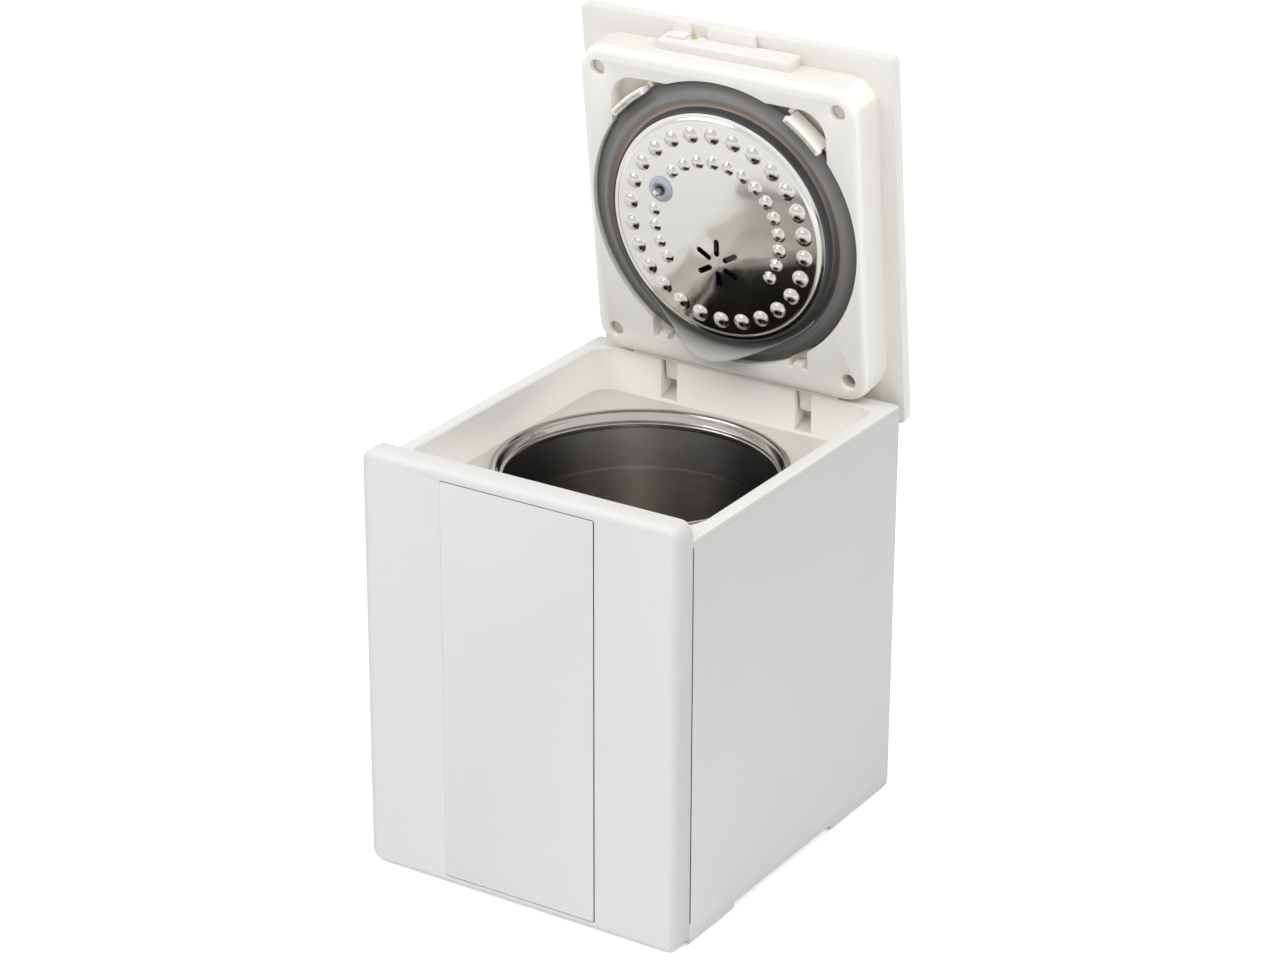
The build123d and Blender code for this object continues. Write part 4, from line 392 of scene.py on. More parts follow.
# painted reflection: the inside's light streak is fixed in the finish
POT_INSIDE = SpunSteel(
    "dark_coating", "pot_metal", (197, 195, 192), (212, 197, 187), (0.28, 0.36), 40.0, 0.5, 0.001,
    metallic=1.0, stretch=(30.0, 30.0),
)
# painted shade at the outer lip, painted light towards the crown's inner edge and the lid's front
GASKET = GradedFinish(
    "grey_silicone", "gasket", (82, 82, 82), (132, 131, 129), (0.36, 0.48), 18.0, 0.6, 0.004,
    translucent=0.15,
)
# painted shade towards the back and right of the collar, painted light towards the lid's front and left
COLLAR = GradedFinish(
    "brown_silicone", "gasket", (66, 65, 65), (152, 139, 130), (0.34, 0.46), 14.0, 0.6, 0.004,
    translucent=0.3,
)
# painted shade: the darkest silicone inside the groove by the disc
GROOVE_PAINTED_SHADE = Finish("groove_painted_shade", "gasket", (60, 62, 64), (68, 69, 70), (0.34, 0.46), 14.0, 0.6, 0.004)
# painted shade at the flap's root under the gasket, painted light towards its tip
FLAP = GradedFinish(
    "thin_silicone", "gasket", (96, 95, 93), (186, 185, 182), (0.38, 0.5), 16.0, 0.6, 0.004, translucent=0.3
)
PIN = Finish(
    "polished_pin", "screws", (205, 204, 200), (214, 213, 210), (0.1, 0.16), 3.0, 0.5, 0.0005, metallic=1.0
)
GROMMET = Finish(
    "blue_grey_silicone", "grommet", (172, 177, 186), (180, 185, 193), (0.3, 0.4), 6.0, 0.5, 0.003,
    translucent=0.3,
)
RUBBER = Finish("dark_rubber", "dark_rubber", (42, 42, 42), (52, 51, 50), (0.62, 0.78), 8.0, 0.4, 0.02)
SCREW = Finish(
    "zinc_plate", "screws", (184, 182, 174), (194, 192, 185), (0.26, 0.4), 3.0, 0.3, 0.002, metallic=1.0
)
SHEET = Finish(
    "mill_sheet", "sheet_metal", (172, 172, 172), (186, 186, 184), (0.3, 0.46), 20.0, 0.4, 0.004,
    metallic=1.0, stretch=(12.0, 1.0),
)
ELEMENT = Finish(
    "oxide_tube", "element", (92, 86, 80), (112, 104, 96), (0.45, 0.6), 6.0, 0.5, 0.01, metallic=0.8
)
BOARD = Finish(
    "board_lacquer", "boards", (34, 92, 58), (42, 106, 68), (0.3, 0.42), 4.0, 0.6, 0.006, coat=0.3
)
PART = Finish("black_moulding", "components", (38, 38, 40), (48, 48, 50), (0.44, 0.56), 10.0, 0.4, 0.006)
BRASS = Finish(
    "brass", "brass", (196, 158, 92), (208, 172, 108), (0.2, 0.32), 4.0, 0.5, 0.002, metallic=1.0
)
FELT = Finish("needle_felt", "felt", (190, 186, 176), (206, 202, 194), (0.86, 0.98), 2.0, 0.6, 0.15)
DUCT = Finish("duct_moulding", "duct", (206, 205, 200), (214, 213, 208), (0.4, 0.5), 20.0, 0.5, 0.004)


def clear() -> None:
    """Leave edit mode with nothing selected."""
    if bpy.context.mode != "OBJECT":
        bpy.ops.object.mode_set(mode="OBJECT")
    bpy.ops.object.select_all(action="DESELECT")


def pick(piece: Piece) -> None:
    """Make one object the only selected one.

    Args:
        piece: The object.
    """
    clear()
    piece.select_set(True)
    bpy.context.view_layer.objects.active = piece


def edit(piece: Piece, mode: str = "VERT") -> None:
    """Open one object in edit mode with all of it selected.

    Args:
        piece: The object.
        mode: The kind of element that is selected.
    """
    pick(piece)
    bpy.ops.object.mode_set(mode="EDIT")
    bpy.ops.mesh.select_mode(type=mode)
    bpy.ops.mesh.select_all(action="SELECT")


def mark(piece: Piece, test: Callable[[Vector], bool]) -> None:
    """Select the points that pass a test on their place.

    Args:
        piece: The object in edit mode.
        test: Says whether a point in millimetres is wanted.
    """
    bpy.ops.mesh.select_mode(type="VERT")
    bpy.ops.mesh.select_all(action="DESELECT")
    mesh = bmesh.from_edit_mesh(piece.data)
    for vertex in mesh.verts:
        vertex.select_set(test(vertex.co / MM))
    bmesh.update_edit_mesh(piece.data)


def shift(piece: Piece, test: Callable[[Vector], bool], move: Corner | Vector) -> None:
    """Move the points that pass a test; the move is in metres."""
    mark(piece, test)
    bpy.ops.transform.translate(value=move)


def named(name: str) -> Piece:
    """Name the object that was just added.

    Args:
        name: Its new name.

    Returns:
        The object.
    """
    piece = bpy.context.object
    piece.name = piece.data.name = name
    return piece


def outlined(name: str, outline: Sequence[Corner], segments: int = 4) -> Piece:
    """Draw a half section as a chain of edges in the XZ plane, with eased corners.

    Args:
        name: The object's name.
        outline: Radius, height and easing of each corner, in millimetres.
        segments: Edges in each eased corner.

    Returns:
        The object, in edit mode.
    """
    clear()
    bpy.ops.mesh.primitive_plane_add(size=MM)
    piece = named(name)
    edit(piece)
    bpy.ops.mesh.merge(type="CENTER")
    bpy.ops.transform.translate(value=(outline[0][0] * MM, 0, outline[0][1] * MM))
    for before, after in zip(outline, outline[1:]):
        step = ((after[0] - before[0]) * MM, 0, (after[1] - before[1]) * MM)
        bpy.ops.mesh.extrude_region_move(TRANSFORM_OT_translate={"value": step})
    bpy.ops.mesh.select_all(action="SELECT")
    bpy.ops.mesh.remove_doubles(threshold=MM * MM)
    for ease in sorted({corner[2] for corner in outline if corner[2]}):
        spots = [Vector((r, 0, z)) for r, z, size in outline if size == ease]
        mark(piece, lambda co: any((co - spot).length < MM for spot in spots))
        bpy.ops.mesh.bevel(offset=ease * MM, segments=segments, affect="VERTICES")
    return piece


def turned(name: str, outline: Sequence[Corner], steps: int, segments: int = 4) -> Piece:
    """Spin a half section once round the Z axis.

    Args:
        name: The object's name.
        outline: Radius, height and easing of each corner, in millimetres.
        steps: Facets in the turn.
        segments: Edges in each eased corner.

    Returns:
        The closed solid, in object mode.
    """
    piece = outlined(name, outline, segments)
    bpy.ops.mesh.select_all(action="SELECT")
    bpy.ops.mesh.spin(steps=steps, angle=math.tau, center=(0, 0, 0), axis=(0, 0, 1))
    weld(piece)
    return piece


def swept(name: str, outline: Sequence[Corner], half: float, steps: int) -> Piece:
    """Spin a half section part of the way round, about the +Y direction.

    Args:
        name: The object's name.
        outline: Radius, height and easing of each corner, in millimetres.
        half: Half of the turn in radians.
        steps: Facets in the turn.

    Returns:
        The closed arc, in object mode.
    """
    piece = outlined(name, outline)
    bpy.ops.mesh.select_all(action="SELECT")
    bpy.ops.mesh.spin(steps=steps, angle=2 * half, center=(0, 0, 0), axis=(0, 0, 1))
    bpy.ops.mesh.select_all(action="SELECT")
    bpy.ops.mesh.remove_doubles(threshold=WELD)
    mesh = bmesh.from_edit_mesh(piece.data)
    middle = sum((vertex.co for vertex in mesh.verts), Vector())
    side = Vector((-middle.y, middle.x, 0))
    for end in (False, True):
        bpy.ops.mesh.select_all(action="DESELECT")
        bpy.ops.mesh.select_mode(type="EDGE")
        mesh = bmesh.from_edit_mesh(piece.data)
        for edge in [edge for edge in mesh.edges if edge.is_boundary]:
            edge.select_set((side.dot(edge.verts[0].co) > 0) == end)
        bmesh.update_edit_mesh(piece.data)
        bpy.ops.mesh.edge_face_add()
    weld(piece)
    settle(piece, Matrix.Rotation(math.pi / 2 - math.atan2(middle.y, middle.x), 4, "Z"))
    return piece


def grade(piece: Piece, rule: Callable[[Vector], float]) -> None:
    """Write the grade that graded finishes follow, from each point's place in millimetres."""
    values = [rule(vertex.co / MM) for vertex in piece.data.vertices]
    piece.data.attributes.new(GRADE, "FLOAT", "POINT").data.foreach_set("value", values)


def paint(piece: Piece, finishes: Sequence[Finish], part: Callable[[Face], int]) -> None:
    """Give a piece several finishes, one on each face.

    Args:
        piece: The object to dress.
        finishes: The finishes that it takes.
        part: Chooses the index of a face's finish.
    """
    for finish in finishes:
        piece.data.materials.append(finish.material())
    for face in piece.data.polygons:
        face.material_index = part(face)


def weld(piece: Piece) -> None:
    """Merge doubled points, turn all faces outwards and leave edit mode.

    Args:
        piece: The object in edit mode.
    """
    bpy.ops.mesh.select_all(action="SELECT")
    bpy.ops.mesh.remove_doubles(threshold=WELD)
    bpy.ops.mesh.normals_make_consistent(inside=False)
    pick(piece)


def block(name: str, size: Corner, middle: Corner) -> Piece:
    """Add a box with its place in its mesh.

    Args:
        name: The object's name.
        size: Its width, depth and height in millimetres.
        middle: Its middle in millimetres.

    Returns:
        The box, in object mode.
    """
    clear()
    bpy.ops.mesh.primitive_cube_add(size=1)
    piece = named(name)
    piece.scale = Vector(size) * MM
    piece.location = Vector(middle) * MM
    bpy.ops.object.transform_apply(location=True, rotation=True, scale=True)
    return piece


def round_edges(piece: Piece, size: float, angle: float = 35.0, segments: int = 2) -> None:
    """Round every edge sharper than an angle with a bevel.

    Args:
        piece: The object to ease.
        size: Width of the bevel in millimetres.
        angle: Least turn in degrees of an edge that is eased.
        segments: Faces across the bevel.
    """
    pick(piece)
    bevel = piece.modifiers.new("ease", "BEVEL")
    bevel.width = size * MM
    bevel.segments = segments
    bevel.limit_method = "ANGLE"
    bevel.angle_limit = math.radians(angle)
    bpy.ops.object.modifier_apply(modifier=bevel.name)


def carve(piece: Piece, tool: Piece) -> None:
    """Cut one closed shape out of another and clear the tool away.

    Args:
        piece: The shape that is cut.
        tool: The shape that is taken out of it.
    """
    pick(piece)
    cut = piece.modifiers.new("cut", "BOOLEAN")
    cut.object = tool
    cut.operation = "DIFFERENCE"
    cut.solver = "EXACT"
    bpy.ops.object.modifier_apply(modifier=cut.name)
    bpy.data.objects.remove(tool)


def softened(node: str, name: str, ease: float, shape: Callable[[Piece], None] | None = None) -> Piece:
    """Copy a moulded piece of the frame and ease its sharp edges.

    Args:
        node: The frame's piece.
        name: The copy's name.
        ease: Width of the eased edge in millimetres.
        shape: A step that reshapes the copy, in edit mode, before its edges are eased.

    Returns:
        The copy, merged and eased.
    """
    mesh = frame["nodes"][node].data.copy()
    mesh.materials.clear()
    piece = bpy.data.objects.new(name, mesh)
    bpy.context.scene.collection.objects.link(piece)
    edit(piece)
    bpy.ops.mesh.customdata_custom_splitnormals_clear()
    bpy.ops.mesh.remove_doubles(threshold=WELD)
    bpy.ops.mesh.dissolve_limited(angle_limit=math.radians(0.5))
    if shape:
        shape(piece)
    round_edges(piece, ease)
    return piece


def settle(piece: Piece, place: Matrix) -> None:
    """Move a piece by a matrix and bake that into its mesh.

    Args:
        piece: The object to move.
        place: The move in metres.
    """
    piece.matrix_world = place
    pick(piece)
    bpy.ops.object.transform_apply(location=True, rotation=True, scale=True)


def hand_over(piece: Piece, finish: Finish, body: Body, *nodes: str, smooth: float = 35.0) -> Piece:
    """Smooth a finished piece, dress it and seat it on its body.

    Args:
        piece: The finished mesh.
        finish: Its surface; pieces that already have materials keep them.
        body: The body that it rides on.
        nodes: The frame's pieces that it stands for.
        smooth: Edges turning less than this many degrees shade smoothly.

    Returns:
        The same piece.
    """
    pick(piece)
    bpy.ops.object.shade_smooth_by_angle(angle=math.radians(smooth))
    if not piece.data.materials:
        piece.data.materials.append(finish.material())
    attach(piece, body.value)
    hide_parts(*nodes)
    LOG.info("%s: %d faces, rides on %s", piece.name, len(piece.data.polygons), body.value)
    return piece


def lid_place() -> Matrix:
    """Find where the closed lid's own axes lie once it has swung open.

    Returns:
        The move from the closed lid's axes to the frame.
    """
    hinge = next(joint for joint in frame["joints"] if joint["name"] == "lid_hinge")
    pivot = Matrix.Translation(hinge["pos_m"])
    swing = Matrix.Rotation(-math.radians(hinge["range_deg"][0]), 4, Vector(hinge["axis"]))
    low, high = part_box("pot")
    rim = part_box("upper_frame")[1].z
    return pivot @ swing @ pivot.inverted() @ Matrix.Translation((0, (low.y + high.y) / 2, rim))


LID_PLACE = lid_place()


@dataclass
class MouldedCase:
    """The white case: panel, shell, base and the ivory rim with its recess."""

    shell_ease: float = 0.35
    window_ease: float = 0.3
    seam: float = 1.0
    pan_painted_light: float = 0.5
    painted_edge_shade: float = 5.0
    panel_thickness: float = 13.0
    window_left: float = 0.35
    window_right: float = 0.3
    seam_shadow_reach: float = 2.0
    seam_shadow_normal: float = -0.3
    level_normal: float = 0.7
    rim_band: float = 2.0
    back_band: float = 4.0
    side_band: float = 1.0
    gap_shade_normal: float = 0.5

    def build(self) -> None:
        """Soften the moulded pieces and dress them."""
        panel = softened("front_panel", "front_panel_moulding", self.shell_ease)
        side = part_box("front_panel")[1].x / MM
        # painted shade: the grade rises towards the panel's side edges
        grade(panel, lambda co: max(0.0, 1 - (side - abs(co.x)) / self.painted_edge_shade))
        hand_over(panel, PANEL, Body.CASE, "front_panel")
        pan = softened("base_pan", "base_pan_moulding", self.shell_ease)
        # painted shade and light: the base takes the shaded shell's tone at mid grade
        grade(pan, lambda co: self.pan_painted_light)
        hand_over(pan, SHADED_SHELL, Body.CASE, "base_pan")
        self.shell()
        for node in ("upper_frame", "pot_seat_ring"):
            piece = softened(node, f"{node}_moulding", self.shell_ease)
            self.dress_rim(piece)
            hand_over(piece, RECESS_PAINTED_LIGHT, Body.CASE, node)
        self.window()

    def shell(self) -> None:
        """Make the shell, with a painted shadow on its front faces in the seam behind the panel."""
        shell = softened("body_shell", "body_shell_moulding", self.shell_ease, self.open_seam)
        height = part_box("body_shell")[1].z / MM
        # painted light: the shell's grade makes it lighter towards the bottom
        grade(shell, lambda co: 1 - co.z / height)
        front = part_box("front_panel")[0].y + (self.panel_thickness + self.seam_shadow_reach) * MM
        facing = self.seam_shadow_normal
        # painted shadow: the shell's front faces in the seam take the dark seam finish
        paint(shell, (SHADED_SHELL, SEAM_PAINTED_SHADOW), lambda f: int(f.normal.y < facing and f.center.y < front))
        hand_over(shell, SHADED_SHELL, Body.CASE, "body_shell")

    def dress_rim(self, piece: Piece) -> None:
        """Give the rim's top and the deck a painted shade, the walls of the recess a painted light, and the
        back and sides the shaded shell's tone.

        Args:
            piece: The rim or the pot's seat ring.
        """
        side, back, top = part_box("upper_frame")[1]

        def part(face: Face) -> int:
            """Choose the finish of one face.

            Args:
                face: A face of the piece.

            Returns:
                The index of its finish.
            """
            # painted shade on the rim's top and the deck, painted light on the recess walls, and the shaded
            # shell's tone on the back and sides
            spot = face.center
            if face.normal.z > self.level_normal:
                return 1 if spot.z > top - self.rim_band * MM else 2
            if spot.y > back - self.back_band * MM or abs(spot.x) > side - self.side_band * MM:
                return 3
            return 0

        paint(piece, (RECESS_PAINTED_LIGHT, RIM_TOP_PAINTED_SHADE, DECK_PAINTED_SHADE, SHADED_SHELL), part)

    def open_seam(self, shell: Piece) -> None:
        """Set the shell's front face back, so that a seam shows behind the panel."""
        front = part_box("front_panel")[0].y / MM + self.panel_thickness
        shift(shell, lambda co: abs(co.y - front) < NEAR, (0, self.seam * MM, 0))

    def fit_window(self, window: Piece) -> None:
        """Set the window over to the left, so that its gap shows only at the right and above.

        Args:
            window: The window in edit mode.
        """
        low, high = (corner.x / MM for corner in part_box("touch_panel"))
        shift(window, lambda co: co.x < low + NEAR, (-self.window_left * MM, 0, 0))
        shift(window, lambda co: co.x > high - NEAR, (-self.window_right * MM, 0, 0))

    def window(self) -> None:
        """Make the touch window, with painted shade on its edge faces in the gap."""
        window = softened("touch_panel", "touch_window", self.window_ease, self.fit_window)
        paint(window, (WINDOW, WINDOW_GAP_SHADE), lambda f: int(abs(f.normal.y) < self.gap_shade_normal))
        hand_over(window, WINDOW, Body.CASE, "touch_panel")


@dataclass
class CookingPot:
    """The pot: a tapered bowl with a rolled bead, a polished step and a level ring inside."""

    steps: int = 160
    corner_steps: int = 5
    floor_normal: float = 0.5
    wall: float = 1.6
    bead: float = 4.5
    step: float = 2.5
    step_drop: float = 5.5
    polish_drop: float = 8.6
    foot_inset: float = 18.0
    ring_drop: float = 30.0
    painted_streak_turn: float = 32.4
    painted_streak_power: int = 6
    painted_streak_middle: float = 0.3
    painted_streak_reach: float = 50.0

    def build(self) -> None:
        """Turn the pot and dress its rim, inside and outside."""
        low, high = (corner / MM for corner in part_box("pot"))
        axis_y = (low.y + high.y) / 2
        outline = self.outline((high.x - low.x) / 2, high.z, low.z)
        pot = turned("cooking_pot", outline, self.steps, self.corner_steps)
        # painted reflection: a fixed light streak across the inside
        grade(pot, self.painted_streak)
        settle(pot, Matrix.Translation((0, axis_y * MM, 0)))
        self.dress(pot, axis_y, high.z)
        hand_over(pot, RIM_STEEL, Body.POT, "pot", smooth=50.0)

    def painted_streak(self, spot: Vector) -> float:
        """Grade the spun steel with a painted reflection: lightest along one line across the pot.

        Args:
            spot: A point in millimetres, from the pot axis.

        Returns:
            The grade from 0 to 1.
        """
        away = math.hypot(spot.x, spot.y)
        if away < MM:
            return self.painted_streak_middle
        turn = math.radians(self.painted_streak_turn)
        lobe = ((spot.y * math.cos(turn) - spot.x * math.sin(turn)) / away) ** self.painted_streak_power
        reach = min(1.0, away / self.painted_streak_reach)
        return self.painted_streak_middle + (lobe - self.painted_streak_middle) * reach

    def outline(self, radius: float, top: float, bottom: float) -> list[Corner]:
        """Draw the half section, from the middle of the floor over the rim to the underside.

        Args:
            radius: The rim's outer radius.
            top: The rim's height.
            bottom: The underside's height.

        Returns:
            The corners of the section.
        """
        step, foot, wall = radius - self.bead, radius - self.foot_inset, self.wall
        mouth = step - self.step
        ledge = top - self.step_drop
        return [
            (0, bottom + wall, 0),
            (foot - wall, bottom + wall, 11.0),
            (mouth - 2.82, top - self.ring_drop - 1.2, 0.5),
            (mouth - 2.6, top - self.ring_drop, 0.5),
            (mouth - 0.6, top - self.polish_drop, 0),
            (mouth - 0.2, ledge, 1.0),
            (step - 1.1, ledge, 0.5),
            (step - 0.1, ledge + 2.4, 0.9),
            (step + 0.8, top, 1.4),
            (radius, top, 1.6),
            (radius, top - 3.4, 1.3),
            (step + wall, top - 3.4, 0.6),
            (step + wall, ledge, 0.5),
            (mouth + wall, ledge - 2 * wall, 0.8),
            (foot, bottom, 12.5),
            (0, bottom, 0),
        ]

    def dress(self, pot: Piece, axis_y: float, top: float) -> None:
        """Give the inside its dark coating and the outside its spun steel.

        Args:
            pot: The turned pot.
            axis_y: Depth of the pot axis in millimetres.
            top: The rim's height in millimetres.
        """
        axis = Vector((0, axis_y * MM, 0))

        def part(face: Face) -> int:
            """Choose the finish of one face.

            Args:
                face: A face of the piece.

            Returns:
                The index of its finish.
            """
            spot = (face.center - axis) / MM
            inwards = Vector((spot.x, spot.y, 0)).dot(face.normal) <= 0
            if spot.z < top - self.polish_drop and (inwards or face.normal.z > self.floor_normal):
                return 1
            if spot.z < top - self.step_drop and not inwards and face.normal.z < self.floor_normal:
                return 2
            return 0

        paint(pot, (RIM_STEEL, POT_INSIDE, POT_OUTSIDE), part)


@dataclass
class InnerLid:
    """The inner lid: mirror disc with two rings of dimples, gasket, drip flap and grommet."""

    disc_radius: float = 64.4
    face_radius: float = 60.5
    face_depth: float = -25.7
    edge_depth: float = -24.2
    sheet: float = 0.8
    dimple_places: int = 26
    outer_ring: float = 53.2
    outer_dimple: float = 4.4
    inner_ring: float = 38.3
    inner_dimple: float = 3.4
    inner_span: int = 9
    probe_places: tuple[int, int] = (-5, -4)
    dimple_rise: float = 1.9
    bow: float = 1.5
    press: float = 4.0
    star_y: float = 19.5
    star_ring: float = 9.2
    star_slot: Point = (9.8, 3.2)
    star_slots: int = 6
    probe_spot: Point = (-32.8, -17.1)
    probe_hole: float = 3.7
    dome_radius: float = 17.0
    dome_rise: float = 0.5
    flap_base: float = -17.6
    flap_depth: float = -31.0
    flap_flare: float = 7.5
    flap_half: float = 50.0
    flap_skew: float = 8.0
    flap_taper: float = 4.6
    flap_flat: float = 0.03
    flap_faces: Point = (69.2, 70.2)
    flap_radius: float = 69.7
    flap_rows: int = 8
    flap_steps: int = 72
    flap_curl: float = 1.5
    flap_ends: float = 0.2
    flap_pale: float = 0.35
    disc_rings: int = 104
    disc_steps: int = 416
    bore_ends: Point = (-30.0, -20.0)
    slot_cut: float = 6.0
    slot_round: float = 0.49
    groove_edge: float = 66.4
    crown_edge: float = 71.0
    lip_edge: float = 79.5
    crown_width: float = 8.0
    crown_painted_light: Point = (0.72, 0.28)
    collar_painted_light: Corner = (0.45, 0.55, 0.15)
    grommet_throat: float = 3.3

    def build(self) -> None:
        """Make the disc, gasket, flap, grommet and probe."""
        self.disc()
        self.gasket()
        self.flap()
        self.grommet()
        self.probe()

    def dimples(self) -> list[Corner]:
        """List the dimples; place 0 is at the lid's front.

        Returns:
            The X, Y and radius of each dimple.
        """
        spots = []
        inner = [p for p in range(-self.inner_span, self.inner_span + 1) if p not in self.probe_places]
        rings = (
            (range(self.dimple_places), self.outer_ring, self.outer_dimple),
            (inner, self.inner_ring, self.inner_dimple),
        )
        for places, ring, radius in rings:
            for place in places:
                turn = math.tau * place / self.dimple_places - math.pi / 2
                spots.append((ring * math.cos(turn), ring * math.sin(turn), radius))
        return spots

    def lift(self, spot: Vector, dimples: Iterable[Corner]) -> float:
        """Say how far the disc's face is pressed out at a point.

        Args:
            spot: The point, in millimetres from the disc's middle.
            dimples: The X, Y and radius of each dimple.

        Returns:
            The height in millimetres.
        """
        bow = self.bowed(spot)
        for x, y, radius in dimples:
            away = math.hypot(spot.x - x, spot.y - y)
            if away < radius:
                ball = (radius**2 + self.dimple_rise**2) / (2 * self.dimple_rise)
                return bow + math.sqrt(ball**2 - away**2) - ball + self.dimple_rise
        away = math.hypot(spot.x, spot.y - self.star_y) / self.dome_radius
        return bow + self.dome_rise * (0.5 + 0.5 * math.cos(math.pi * min(away, 1.0)))

    def bowed(self, spot: Vector) -> float:
        """Say how far the disc's shallow bow stands out at a point, in millimetres."""
        return self.bow * max(0.0, 1 - (spot.x**2 + spot.y**2) / self.face_radius**2)

    def disc(self) -> None:
        """Turn the disc, press out its dimples and cut its slots."""
        rings = [self.face_radius * i / self.disc_rings for i in range(1, self.disc_rings + 1)]
        inside = self.face_depth + self.sheet
        outline = [(0, self.face_depth, 0)]
        outline += [(r, self.face_depth, 0) for r in rings]
        outline += [
            (62.2, self.edge_depth, 0.5),
            (self.disc_radius, self.edge_depth, 0.3),
            (self.disc_radius, self.edge_depth + self.sheet, 0.3),
            (61.8, self.edge_depth + self.sheet, 0),
            (60.1, inside, 0),
            (0, inside, 0),
        ]
        disc = turned("inner_lid_disc", outline, self.disc_steps, 3)
        dimples = self.dimples()
        pressed = disc.vertex_groups.new(name="pressed")
        for vertex in disc.data.vertices:
            spot = vertex.co / MM
            if spot.z < self.face_depth + NEAR:
                pressed.add([vertex.index], self.lift(spot, dimples) / self.press, "REPLACE")
        pick(disc)
        press = disc.modifiers.new("press", "DISPLACE")
        press.direction = "Z"
        press.mid_level = 0.0
        press.strength = -self.press * MM
        press.vertex_group = pressed.name
        bpy.ops.object.modifier_apply(modifier=press.name)
        for turn in range(self.star_slots):
            carve(disc, self.slot_tool(math.tau * turn / self.star_slots - math.pi / 2))
        hole, (low, high) = self.probe_hole, self.bore_ends
        bore = turned("bore", [(0, low, 0), (hole, low, 0), (hole, high, 0), (0, high, 0)], 32)
        settle(bore, Matrix.Translation((self.probe_spot[0] * MM, self.probe_spot[1] * MM, 0)))
        carve(disc, bore)
        disc.vertex_groups.clear()
        # marks the dimples for the mirror's painted reflection
        grade(disc, lambda co: float(any(math.hypot(co.x - x, co.y - y) < r for x, y, r in dimples)))
        settle(disc, LID_PLACE)
        hand_over(disc, MIRROR, Body.INNER_LID, "inner_lid_disc", smooth=40.0)

    def slot_tool(self, turn: float) -> Piece:
        """Make the cutter of one star slot.

        Args:
            turn: Its turn about the star's middle, in radians.

        Returns:
            The cutter in its place.
        """
        length, width = self.star_slot
        tool = block("slot", (length, width, self.slot_cut), (self.star_ring, 0, self.face_depth))
        edit(tool, "EDGE")
        for edge in bmesh.from_edit_mesh(tool.data).edges:
            edge.select_set(abs(edge.verts[0].co.z - edge.verts[1].co.z) > MM)
        bpy.ops.mesh.bevel(offset=width * self.slot_round * MM, segments=6, affect="EDGES")
        weld(tool)
        star = Matrix.Translation((0, self.star_y * MM, 0))
        settle(tool, star @ Matrix.Rotation(turn, 4, "Z"))
        return tool

    def gasket(self) -> None:
        """Turn the gasket: collar, groove, crown and flat sealing lip."""
        outline = [
            (59.5, -23.25, 0), (64.55, -23.25, 0), (64.55, -24.5, 0.3), (65.5, -24.3, 0.4),
            (66.3, -19.6, 0.7), (68.0, -19.2, 0.6), (71.2, -20.6, 0.5), (73.4, -20.2, 0.6),
            (75.2, -18.6, 1.0), (79.5, -17.5, 0.4), (79.5, -16.2, 0.4), (73.9, -15.1, 0.8),
            (72.4, -9.3, 0.4), (66.8, -9.3, 0.4), (65.4, -14.4, 0.4), (59.5, -21.65, 0.4),
            (59.5, -23.25, 0),
        ]
        gasket = turned("inner_lid_gasket", outline, 192, 4)

        def part(face: Face) -> int:
            """Choose the finish of one face."""
            away = math.hypot(*face.center.xy) / MM
            return 2 if away < self.groove_edge else int(away < self.crown_edge)

        # painted shade in the groove; the crown and collar take painted light and shade by the grade
        paint(gasket, (GASKET, COLLAR, GROOVE_PAINTED_SHADE), part)
        grade(gasket, self.gasket_painted_light)
        settle(gasket, LID_PLACE)
        hand_over(gasket, GASKET, Body.INNER_LID, "inner_lid_gasket", smooth=50.0)

    def gasket_painted_light(self, spot: Vector) -> float:
        """Paint light on the crown towards its inner edge and the lid's front, and on the collar towards
        the lid's front; the low ends are painted shade.

        Args:
            spot: A point of the gasket in millimetres.

        Returns:
            The grade, mostly from 0 to 1.
        """
        away = math.hypot(spot.x, spot.y)
        if away > self.crown_edge:
            tone, front = self.crown_painted_light
            return (self.lip_edge - away) / self.crown_width * (tone - front * spot.y / away)
        tone, front, side = self.collar_painted_light
        return tone - (front * spot.y + side * spot.x) / away

    def flap_reach(self, spot: Vector) -> float:
        """Say how far the flap reaches at a point's turn, skewed to one side.

        Args:
            spot: A point of the flap in millimetres.

        Returns:
            1 at its deepest and 0 where it runs out.
        """
        half = math.radians(self.flap_half)
        turn = math.atan2(spot.y, spot.x) - math.pi / 2
        skew = turn - math.radians(self.flap_skew) * (1 - (turn / half) ** 2)
        return max(0.0, math.cos(skew / half * math.pi / 2)) ** self.flap_taper

    def flap_fall(self, spot: Vector) -> float:
        """Say how far down the flap a point lies, from 0 to 1."""
        return max(0.0, (spot.z - self.flap_base) / (self.flap_depth - self.flap_base))

    def flap_painted_light(self, spot: Vector) -> float:
        """Paint light on the flap towards its deepest edge, leaving painted shade at its root under the
        gasket.
        """
        return self.flap_fall(spot) * (self.flap_pale + (1 - self.flap_pale) * self.flap_reach(spot))

